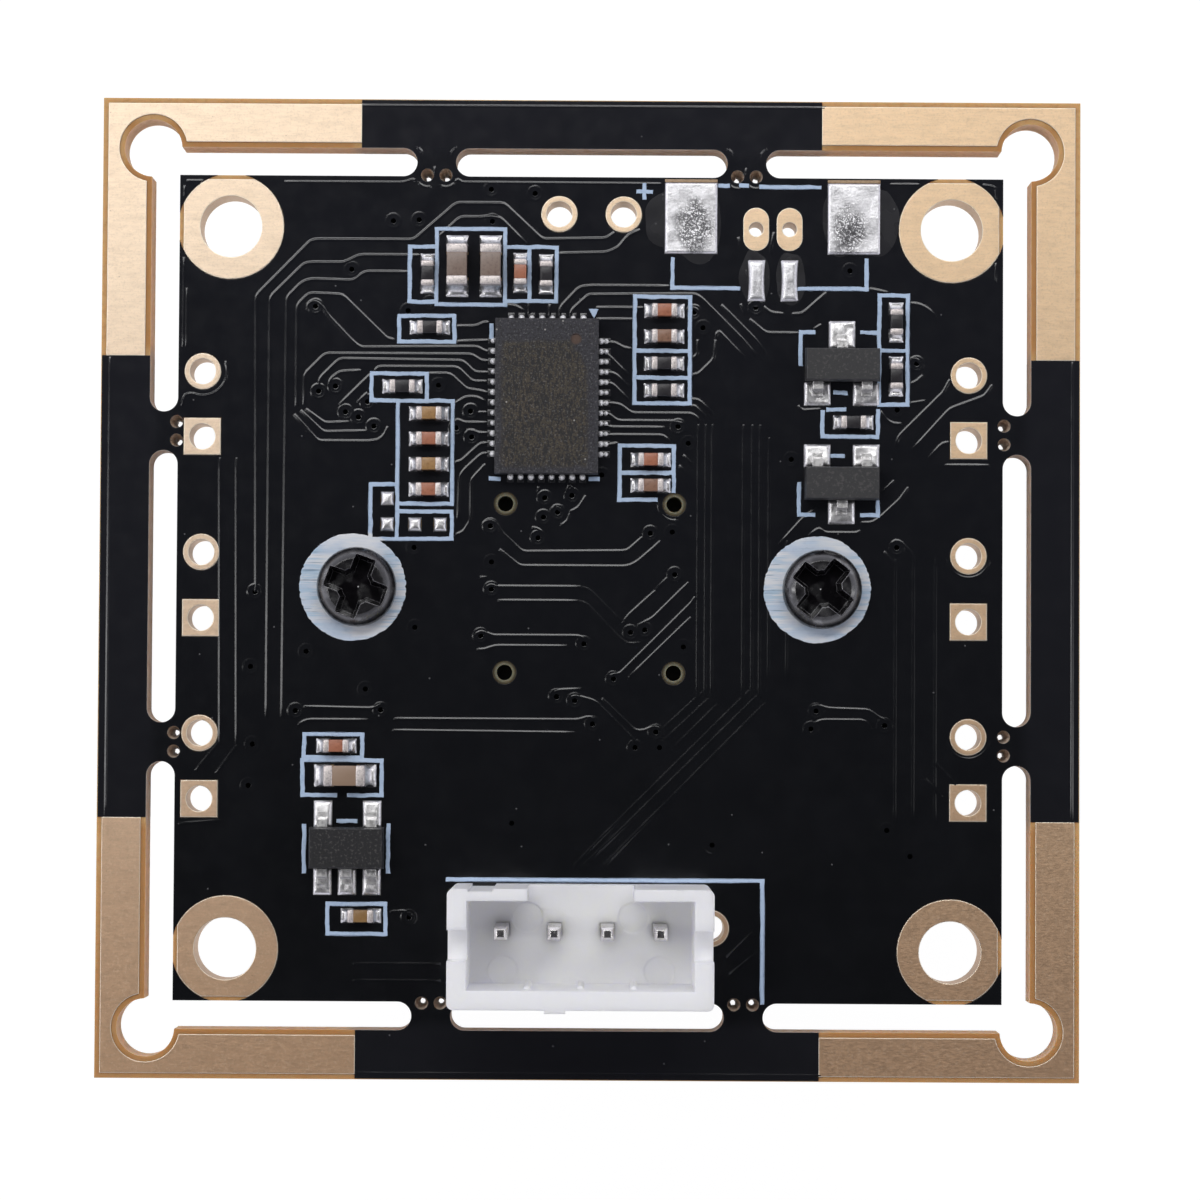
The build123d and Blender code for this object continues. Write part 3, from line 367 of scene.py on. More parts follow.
def arc_run(x, y, radius, start, end, steps=14):
    """Points of an arc, its angles in degrees."""
    angles = [math.radians(start + (end - start) * i / steps) for i in range(steps + 1)]
    return [(x + radius * math.cos(a), y + radius * math.sin(a)) for a in angles]


def at(x, y, z=0.0, turn=0.0):
    return Matrix.Translation((x, y, z)) @ Matrix.Rotation(math.radians(turn), 4, "Z")


# Camera, floor and light

camera_distance = 155.0
camera_turn = (-0.03541, 0.00021, -0.00578)
camera_shift = (-0.41064, 0.44769)
turn = (
    Matrix.Rotation(camera_turn[2], 3, "Z")
    @ Matrix.Rotation(camera_turn[1], 3, "Y")
    @ Matrix.Rotation(camera_turn[0], 3, "X")
)
place = turn.transposed() @ Vector((-camera_shift[0], -camera_shift[1], camera_distance)) * MM
camera_data = bpy.data.cameras.new("photo_camera")
camera_data.sensor_width = 36
camera_data.lens = 120.01
camera_data.clip_start = 0.01
camera = bpy.data.objects.new("photo_camera", camera_data)
camera.matrix_world = Matrix.Translation(place) @ turn.transposed().to_4x4()
bpy.context.scene.collection.objects.link(camera)
bpy.context.scene.camera = camera
bpy.context.scene.view_settings.view_transform = "Standard"


def wired(tree, kind, *sources, **values):
    """A new node: its first inputs are linked to the sources, and its named ones take the values."""
    node = tree.nodes.new("ShaderNode" + kind)
    for source, socket in zip(sources, node.inputs):
        tree.links.new(source.outputs[0] if isinstance(source, bpy.types.Node) else source, socket)
    for name, value in values.items():
        node.inputs[name].default_value = value
    return node


def seen(tree):
    """1 for rays from the camera, from gloss and through glass, and 0 for the rest."""
    path = wired(tree, "LightPath").outputs
    total = path["Is Camera Ray"]
    for name in ("Is Glossy Ray", "Is Transmission Ray"):
        total = wired(tree, "Math", total, path[name])
        total.operation = "MAXIMUM"
    return total


def make_floor():
    """A pale floor that reads white, keeps a faint shadow and is clear from below."""
    half = 1.5
    level = cad_box[0].z - 0.00002
    mesh = bpy.data.meshes.new("floor")
    corners = [(-half, -half, level), (half, -half, level), (half, half, level), (-half, half, level)]
    mesh.from_pydata(corners, [], [[0, 1, 2, 3]])
    floor = bpy.data.objects.new("floor", mesh)
    bpy.context.scene.collection.objects.link(floor)
    floor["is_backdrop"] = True
    material = bpy.data.materials.new("floor")
    material.use_nodes = True
    tree = material.node_tree
    tree.nodes.clear()
    matt = wired(tree, "BsdfDiffuse", Color=(0.75, 0.75, 0.75, 1))
    faint = wired(tree, "BsdfDiffuse", Color=(0.12, 0.12, 0.12, 1))
    glow = wired(tree, "Emission", Strength=0.95)
    both = wired(tree, "AddShader", faint, glow)
    upper = wired(tree, "MixShader", seen(tree), matt, both)
    clear = wired(tree, "BsdfTransparent")
    below = wired(tree, "NewGeometry").outputs["Backfacing"]
    sides = wired(tree, "MixShader", below, upper, clear)
    wired(tree, "OutputMaterial", sides)
    mesh.materials.append(material)


def make_world():
    """White behind the object; a bright horizon and a dark ceiling light it."""
    world = bpy.data.worlds.new("studio")
    bpy.context.scene.world = world
    world.use_nodes = True
    tree = world.node_tree
    tree.nodes.clear()
    direction = wired(tree, "TexCoord").outputs["Generated"]
    height = wired(tree, "SeparateXYZ", direction).outputs["Z"]
    ramp = wired(tree, "ValToRGB", height)
    ramp.color_ramp.interpolation = "EASE"
    stops = (0.1, (1.13, 1.13, 1.26, 1)), (0.85, (0.035, 0.035, 0.04, 1))
    for element, (position, colour) in zip(ramp.color_ramp.elements, stops):
        element.position = position
        element.color = colour
    room = wired(tree, "Background", ramp)
    white = wired(tree, "Background")
    camera_ray = wired(tree, "LightPath").outputs["Is Camera Ray"]
    choice = wired(tree, "MixShader", camera_ray, room, white)
    wired(tree, "OutputWorld", choice)


def make_lamp(name, place, size, power):
    """An area lamp that looks at the board's centre, its place in metres."""
    data = bpy.data.lights.new(name, "AREA")
    data.shape = "RECTANGLE"
    data.size, data.size_y = size
    data.energy = power
    lamp = bpy.data.objects.new(name, data)
    lamp.location = place
    lamp.rotation_mode = "QUATERNION"
    lamp.rotation_quaternion = Vector(place).to_track_quat("Z", "Y")
    bpy.context.scene.collection.objects.link(lamp)


make_floor()
make_world()
make_lamp("key_strip", (-0.035, 0.165, 0.3), (0.42, 0.07), 0.6)
make_lamp("left_fill", (-0.26, 0.0, 0.27), (0.04, 0.3), 0.205)
make_lamp("right_fill", (0.3, -0.02, 0.24), (0.04, 0.3), 0.11)
make_lamp("lens_side_fill", (0.1, -0.2, -0.35), (0.3, 0.3), 1.2)

# Materials of the board

mask = Paint("black_solder_mask", srgb(14, 15, 17), 0.16, IOR=1.5)
# Painted light: the mask turns lighter towards the top, where the key lamp falls on it.
mask.layer(mask.ease(mask.y, -17.0, 19.0, 0.0, 0.8), srgb(27, 28, 33))
mask.grain((0.4,), (0.4, 0.7), 0.4, srgb(21, 22, 25))
mask.specks(0.22, (0.004, 0.009), 0.35, srgb(150, 150, 150))
frame_gap = mask.math("MAXIMUM", mask.absolute(mask.x), mask.absolute(mask.y))
mask.layer(mask.ease(frame_gap, 16.5, 17.2, 0.0, 0.2), srgb(46, 46, 52))
mask.rough((1.2, 3), 0.13, 0.2)
mask.relief((2.0, 2), 0.0006, edge=0.03)

# Painted shade: a black disc without gloss stands for the dark hole in the middle of each via.
via_hole_shade = Paint("painted_via_hole_shade", srgb(2, 2, 2), 0.6, Specular_IOR_Level=0.0)
via_hole_shade.rough((9,), 0.5, 0.7)

gold = Paint("gold_plating", (1.0, 0.81, 0.61), 0.44, 1.0)
# Painted light and shade: the gold turns deeper in hue towards the right and darker towards the bottom, away
# from the lamps.
gold.layer(gold.ease(gold.x, -16.0, 16.0, 0.0, 0.8), (1.0, 0.72, 0.44))
gold.layer(gold.ease(gold.y, 14.0, -21.0), (0.73, 0.475, 0.295))
gold.grain((5.0, 4, (0.5, 3.0, 1)), (0.35, 0.75), 0.13, (0.40, 0.28, 0.19))
gold.specks(0.35, (0.006, 0.012), 0.4, (0.35, 0.22, 0.13))
gold.grain((2.2, 3, (0.5, 1.7, 1)), (0.4, 0.7), 0.12, (0.40, 0.28, 0.19))
gold.grain((13.0, 2), (0.5, 0.68), 0.13, (0.36, 0.25, 0.17))
gold.grain((10.0, 3), (0.52, 0.68), 0.2, (1.0, 0.79, 0.57))
# Painted shade: gold on steep faces, such as the walls of the plated holes, is made darker.
gold_slope = gold.absolute(gold.facing())
gold.layer(gold.ease(gold_slope, 0.3, 0.8, 0.88, 0.0), (0.44, 0.27, 0.15))
# Painted highlight: a pale line along the gold's edges.
gold.layer(gold.ease(gold.edge_glint(0.06), 0.005, 0.06, 0.0, 0.9), (1.0, 0.92, 0.76))
gold.rough((5.0, 4, (1, 3, 1)), 0.4, 0.5)
gold.relief((11.0, 4, (0.8, 3.5, 1)), 0.0025, edge=0.05)

laminate = Paint(
    "glass_epoxy", srgb(206, 182, 160), 0.6,
    Subsurface_Weight=0.5, Subsurface_Scale=1.0, Specular_IOR_Level=0.06,
    Subsurface_Radius=(0.0005, 0.0003, 0.00015),
)
laminate.grain((2.0, 4, (1, 1, 7)), (0.4, 0.66), 1.0, srgb(168, 142, 122))
laminate.grain((9.0, 3, (1, 1, 0.4)), (0.55, 0.72), 0.4, srgb(196, 172, 146))
reach_x = laminate.absolute(laminate.x)
reach_y = laminate.absolute(laminate.y)
gold_corner = laminate.ease(laminate.math("MINIMUM", reach_x, reach_y), 8.9, 9.5, 0.0, 0.9)
laminate.layer(gold_corner, srgb(233, 195, 157))
top_face = laminate.ease(laminate.facing(), 0.6, 0.9)
laminate.layer(top_face, srgb(207, 167, 117))
# Painted shade: the laminate's upward faces turn darker towards the bottom, away from the key lamp.
low_end = laminate.ease(laminate.y, -8.0, -17.0, 0.0, 0.7)
laminate.layer(laminate.product(top_face, low_end), srgb(180, 136, 90))
slot_zone = laminate.band(laminate.math("MAXIMUM", reach_x, reach_y), 16.6, 18.1, 0.2)
slot_strip = laminate.product(laminate.product(top_face, gold_corner), slot_zone)
laminate.layer(slot_strip, srgb(182, 135, 86))
laminate.grain((4.0, 3), (0.45, 0.75), 0.35, srgb(172, 124, 74))
post_gap = laminate.oval(post_reach, post_reach, 1.0, 1.0, mirrored=True)
# Painted shade: the laminate round the holder posts' holes is made dark, turning a paler grey nearer each
# hole's middle.
laminate.layer(laminate.ease(post_gap, 0.5, 0.6, 0.94, 0.0), srgb(60, 58, 46))
laminate.layer(laminate.ease(post_gap, 0.32, 0.44, 0.85, 0.0), srgb(124, 122, 104))
laminate.rough((6.0,), 0.5, 0.7)
laminate.relief((5.0, 4, (1, 1, 5)), 0.012, edge=0.03)

fibre = Paint("drilled_fibre", srgb(226, 212, 198), 0.6, Specular_IOR_Level=0.2)
fibre.grain((6.0, 3), (0.45, 0.7), 1.0, srgb(186, 164, 146))
fibre.rough((6.0,), 0.5, 0.7)
fibre.relief((9.0, 3), 0.02)

legend = Paint("printed_legend", srgb(182, 202, 226), 0.42)
legend.grain((6.0, 3), (0.5, 0.8), 1.0, srgb(160, 184, 212))
from_middle = legend.absolute(legend.math("SUBTRACT", legend.x, ring_middle))
ring_x = legend.math("SUBTRACT", from_middle, screw_reach)
ring_gap = legend.span(ring_x, legend.y)
ring_zone = legend.ease(ring_gap, 2.15, 2.25, 1.0, 0.0)
pale = legend.ease(legend.noise(0.8, 3, (0.6, 2.0, 1)), 0.35, 0.6, 0.35, 1.0)
legend.layer(legend.product(ring_zone, pale), srgb(228, 230, 233))
ring_sides = legend.ease(legend.absolute(ring_x), 1.0, 1.5, 0.25, 1.0)
for fineness, low, high, shade in (
    (6.0, 0.46, 0.6, srgb(172, 200, 221)),
    (13.0, 0.58, 0.64, srgb(120, 146, 170)),
):
    streak = legend.ease(legend.noise(1.0, 4, (0.4, fineness, 1), 0.6), low, high, 0.0, 0.8)
    legend.layer(legend.product(legend.product(streak, ring_sides), ring_zone), shade)
legend.rough((8.0,), 0.35, 0.5)
legend.relief((14.0, 3), 0.004, edge=0.05)

solder = Paint("reflowed_solder", (0.80, 0.79, 0.79), 0.4, 1.0)
solder.grain((7.0, 3), (0.5, 0.8), 1.0, (0.56, 0.55, 0.54))
solder.grain((10.0, 3), (0.52, 0.62), 0.5, (0.97, 0.97, 0.97))
solder.grain((7.5, 2), (0.6, 0.68), 0.45, (0.28, 0.28, 0.28))
solder.rough((6.0, 3), 0.32, 0.5)
solder.relief((9.0, 3), 0.006)

bead_solder = Paint("lead_bead_solder", (0.95, 0.95, 0.95), 0.36, 0.35)
bead_solder.grain((9.0, 2), (0.55, 0.8), 1.0, (0.8, 0.8, 0.8))
bead_solder.rough((8.0, 2), 0.28, 0.42)
bead_solder.relief((6.0, 2), 0.002)

land_edge = Paint("bare_land_edge", srgb(172, 146, 116), 0.5)
land_edge.grain((7.0, 3), (0.45, 0.7), 1.0, srgb(148, 122, 92))
land_edge.rough((9.0,), 0.4, 0.6)
land_edge.relief((12.0, 3), 0.004)

cap_metal = Paint("chip_end_metal", (0.74, 0.68, 0.65), 0.5, 0.85)
cap_metal.grain((14.0, 3), (0.45, 0.7), 1.0, (0.5, 0.46, 0.45))
cap_metal.rough((18.0, 3), 0.42, 0.6)
cap_metal.relief((20.0, 4), 0.005)

tin = Paint("tinned_lands", (0.93, 0.92, 0.94), 0.42, 1.0)
tin.grain((2.2, 3), (0.5, 0.8), 1.0, (0.74, 0.73, 0.75))
tin.grain((11.0, 3), (0.5, 0.6), 0.35, (0.55, 0.55, 0.56))
tin.layer(tin.ease(tin.y, 12.95, 12.75, 0.0, 0.5), (0.6, 0.6, 0.62))
# Pale specks in the tin's grain, brightened as painted sparkle highlights.
tin.grain((14.0, 2), (0.54, 0.64), 0.7, (0.99, 0.99, 1.0))
worms = tin.ease(tin.absolute(tin.math("SUBTRACT", tin.noise(8.5, 1.5), 0.5)), 0.045, 0.095, 1.0, 0.0)
for patch in ((4.0, 14.1, 0.9, 1.25), (10.03, 13.9, 0.86, 1.1)):  # x, y and the two radii
    ragged = tin.math("ADD", tin.oval(*patch), tin.product(tin.noise(2.5, 2), 0.9))
    grains = tin.math("MAXIMUM", worms, tin.ease(tin.noise(13.0, 1), 0.5, 0.56))
    dark = tin.product(grains, tin.ease(ragged, 0.9, 1.6, 0.88, 0.0))
    tin.layer(dark, (0.07, 0.07, 0.075))
tin.rough((4.0, 3), 0.36, 0.5)
tin.relief((12.0, 4), 0.009)

flux = Paint("flux_residue", srgb(38, 38, 41), 0.24, IOR=1.52)
flux.grain((0.9, 1), (0.4, 0.7), 1.0, srgb(31, 31, 34))
flux.specks(0.9, (0.02, 0.04), 0.4, srgb(130, 130, 130))
flux.rough((0.8,), 0.22, 0.3)
flux.relief((1.6, 1), 0.0015)

# Materials of the parts on the board

resin = Paint("processor_resin", srgb(41, 40, 47), 0.55)
centre, size = node_box("image_processor")
wobble = resin.product(resin.math("SUBTRACT", resin.noise(3.0, 3), 0.5), 0.35)
inner_x = resin.math("ADD", resin.math("SUBTRACT", resin.x, centre.x), wobble)
inner_y = resin.math("ADD", resin.math("SUBTRACT", resin.y, centre.y), wobble)
top_right = resin.math("ADD", inner_x, resin.product(inner_y, 0.55))
inner = resin.product(resin.band(inner_x, -1.72, 1.55, 0.1), resin.band(inner_y, -2.72, 2.08, 0.1))
ground = resin.product(inner, resin.ease(top_right, 1.95, 2.25, 1.0, 0.0))
resin.layer(ground, srgb(59, 51, 38))
clouds = resin.ease(resin.noise(1.4, 3), 0.45, 0.65, 0.0, 0.6)
resin.layer(resin.product(ground, clouds), srgb(66, 55, 40))
scratches = resin.ease(resin.noise(11.0, 3, (1, 0.3, 1)), 0.48, 0.56)
resin.layer(resin.product(ground, scratches), srgb(18, 15, 13))
resin.grain((12.0, 2), (0.5, 0.58), 0.9, srgb(14, 14, 19))
resin.grain((13.0, 2), (0.58, 0.66), 0.38, srgb(118, 116, 116))
resin.specks(0.5, (0.01, 0.022), 0.6, srgb(190, 186, 180))
mark_x = resin.math("SUBTRACT", resin.x, centre.x + 1.12)
mark_y = resin.math("SUBTRACT", resin.y, centre.y + 2.2)
mark_gap = resin.span(mark_x, mark_y)
resin.layer(resin.ease(mark_gap, 0.14, 0.26, 0.85, 0.0), srgb(84, 62, 48))
resin.rough((8.0, 3), 0.45, 0.62)
resin.relief((14.0, 4, (1, 0.3, 1)), 0.012, edge=0.04)

moulding = Paint("transistor_resin", srgb(45, 45, 46), 0.5)
moulding.grain((14.0, 3), (0.5, 0.75), 1.0, srgb(41, 41, 42))
moulding.layer(moulding.ease(moulding.y, -4.0, -8.0), srgb(16, 16, 19))
moulding.grain((10.0, 3), (0.54, 0.66), 0.7, srgb(76, 73, 72))
# Painted highlight: a lighter line along the bodies' edges.
moulding.layer(moulding.ease(moulding.edge_glint(0.05), 0.02, 0.12, 0.0, 0.5), srgb(78, 78, 82))
moulding.rough((9.0, 3), 0.42, 0.6)
moulding.relief((18.0, 3), 0.006, edge=0.05)

leg_tin = Paint("tinned_leg", (0.86, 0.85, 0.84), 0.38, 1.0)
leg_tin.grain((7.0, 3), (0.45, 0.7), 1.0, (0.6, 0.59, 0.58))
leg_tin.rough((11.0, 3), 0.3, 0.48)
leg_tin.relief((9.0, 3), 0.006, edge=0.04)

pin_metal = Paint("pin_metal", (0.70, 0.68, 0.66), 0.2, 1.0)
pin_metal.grain((5.0, 3, (1, 1, 0.2)), (0.45, 0.7), 1.0, (0.55, 0.53, 0.52))
pin_metal.rough((8.0, 3), 0.16, 0.28)
pin_metal.relief((14.0, 3), 0.004, edge=0.05)

nylon = Paint(
    "white_nylon", srgb(253, 253, 255), 0.4,
    Subsurface_Weight=1.0, Subsurface_Scale=1.0, Subsurface_Radius=(0.0008, 0.0008, 0.0009),
)
nylon.grain((0.7, 3), (0.45, 0.75), 1.0, srgb(251, 251, 255))
nylon.rough((5.0, 3), 0.34, 0.48)
nylon.relief((7.0, 3), 0.006, edge=0.1)

black_steel = Paint("black_steel", (0.004, 0.0035, 0.0045), 0.25, IOR=1.9)
black_steel.grain((2.5, 3), (0.5, 0.75), 1.0, (0.011, 0.01, 0.012))
# Painted highlights: pale lines along the edges of the screw heads and their recesses.
black_steel.layer(black_steel.ease(black_steel.edge_glint(0.03), 0.03, 0.12, 0.0, 0.9), (0.26, 0.25, 0.27))
glint_gap = black_steel.oval(8.93, 0.0, 0.035, 0.03, mirrored=True)
black_steel.layer(black_steel.ease(glint_gap, 0.6, 1.0, 1.0, 0.0), (0.8, 0.8, 0.8))
gloss = black_steel.math(
    "ADD",
    black_steel.ease(black_steel.z, 0.6, 1.0, 0.04, 0.5),
    black_steel.ease(black_steel.noise(1.5, 1), 0.5, 0.62, 0.0, 0.45),
)
black_steel.link(gloss, black_steel.shader.inputs["Specular IOR Level"])
black_steel.rough((3.0, 3), 0.16, 0.3)
black_steel.relief((5.0, 3), 0.004, edge=0.05)


def ceramic(name, colour, darker):
    """Fired ceramic: fine grain along the part, and a soft change of shade."""
    paint = Paint(name, colour, 0.34)
    paint.grain((8.0, 3), (0.45, 0.75), 1.0, darker)
    paint.grain((26.0, 2), (0.6, 0.75), 0.35, tuple(c * 0.5 for c in darker))
    paint.rough((10.0, 3), 0.28, 0.45)
    paint.relief((22.0, 3), 0.004)
    return paint


ceramics = {
    "ceramic_grey": ceramic("ceramic_grey", srgb(134, 117, 106), srgb(118, 100, 90)),
    "ceramic_tan": ceramic("ceramic_tan", srgb(164, 127, 82), srgb(142, 106, 66)),
    "ceramic_orange": ceramic("ceramic_orange", srgb(172, 112, 86), srgb(146, 92, 70)),
    "ceramic_brown": ceramic("ceramic_brown", srgb(142, 108, 88), srgb(112, 82, 64)),
    "resistor_film": ceramic("resistor_film", srgb(42, 40, 43), srgb(30, 29, 32)),
}
# The tan chip above the regulator is greyer than the upper two, and the one below it is darker
tan = ceramics["ceramic_tan"]
tan.layer(tan.band(tan.y, -8.2, -5.2, 0.2), srgb(150, 126, 106))
tan.layer(tan.ease(tan.y, -9.0, -11.0, 0.0, 0.6), srgb(128, 100, 60))

# Materials of the lens side

holder_plastic = Paint("holder_plastic", srgb(26, 26, 27), 0.5)
holder_plastic.grain((1.2, 3), (0.4, 0.7), 1.0, srgb(32, 32, 33))
holder_plastic.rough((3.0, 3), 0.42, 0.6)
holder_plastic.relief((9.0, 5, None, 0.7), 0.02, edge=0.12)

barrel = Paint("black_anodised", (0.02, 0.02, 0.022), 0.32, 0.7)
barrel.grain((6.0, 3, (1, 1, 4)), (0.5, 0.75), 1.0, (0.035, 0.035, 0.038))
barrel.rough((8.0, 3, (1, 1, 5)), 0.26, 0.42)
thread_zone = barrel.band(barrel.z, -14.3, -8.0, 0.05)
pitch_wave = barrel.math("SINE", barrel.product(barrel.z, math.tau / thread_pitch), 0.0)
thread = barrel.product(thread_zone, pitch_wave)
barrel.bump(barrel.math("ADD", thread, barrel.noise(14.0, 3)), 0.06, edge=0.08)


def glass(name, colour, coating):
    """Coated glass: a thin film tints what it reflects, and fine dust dulls it a little."""
    paint = Paint(
        name, colour, 0.02, Transmission_Weight=1.0, IOR=1.6, Thin_Film_Thickness=coating, Thin_Film_IOR=1.38
    )
    paint.rough((3.0, 3), 0.01, 0.05)
    paint.relief((2.0, 2), 0.00006)
    return paint


lens_glass = glass("lens_glass", (0.97, 0.98, 1.0), 420.0)
cover_glass = glass("cover_glass", (0.96, 0.98, 0.97), 250.0)
filter_glass = glass("filter_glass", (0.72, 0.93, 0.88), 620.0)

sensor_ceramic = ceramic("sensor_ceramic", srgb(80, 74, 70), srgb(64, 60, 58))
silicon = Paint("silicon", (0.16, 0.18, 0.24), 0.12, 0.9)
silicon.grain((1.2, 2), (0.4, 0.7), 1.0, (0.2, 0.16, 0.26))
silicon.rough((20.0,), 0.08, 0.2)
silicon.bump(silicon.cells(30.0), 0.002)
spacer_plastic = Paint("spacer_plastic", srgb(20, 20, 20), 0.7)
spacer_plastic.rough((6.0,), 0.6, 0.8)
spacer_plastic.relief((10.0, 4), 0.02)

slot_paints = {
    "laminate": laminate,
    "solder_mask": mask,
    "gold_plating": gold,
    "tinned_solder": tin,
    "solder": solder,
    "legend_ink": legend,
    "processor_resin": resin,
    "transistor_resin": moulding,
    "tinned_leg": leg_tin,
    "pin_metal": pin_metal,
    "white_nylon": nylon,
    "black_steel": black_steel,
    "holder_plastic": holder_plastic,
    "sensor_ceramic": sensor_ceramic,
    "silicon": silicon,
    "clear_glass": cover_glass,
    "filter_glass": filter_glass,
    "lens_glass": lens_glass,
    "barrel_metal": barrel,
    "spacer_plastic": spacer_plastic,
    **ceramics,
}
node_slots = {part["node"]: part["material_slot"] for part in frame["record"]["subparts"]}
for name, piece in frame["nodes"].items():
    for slot in piece.material_slots:
        slot.material = slot_paints[node_slots[name]].material

# Tracks, vias and plane edges under the mask

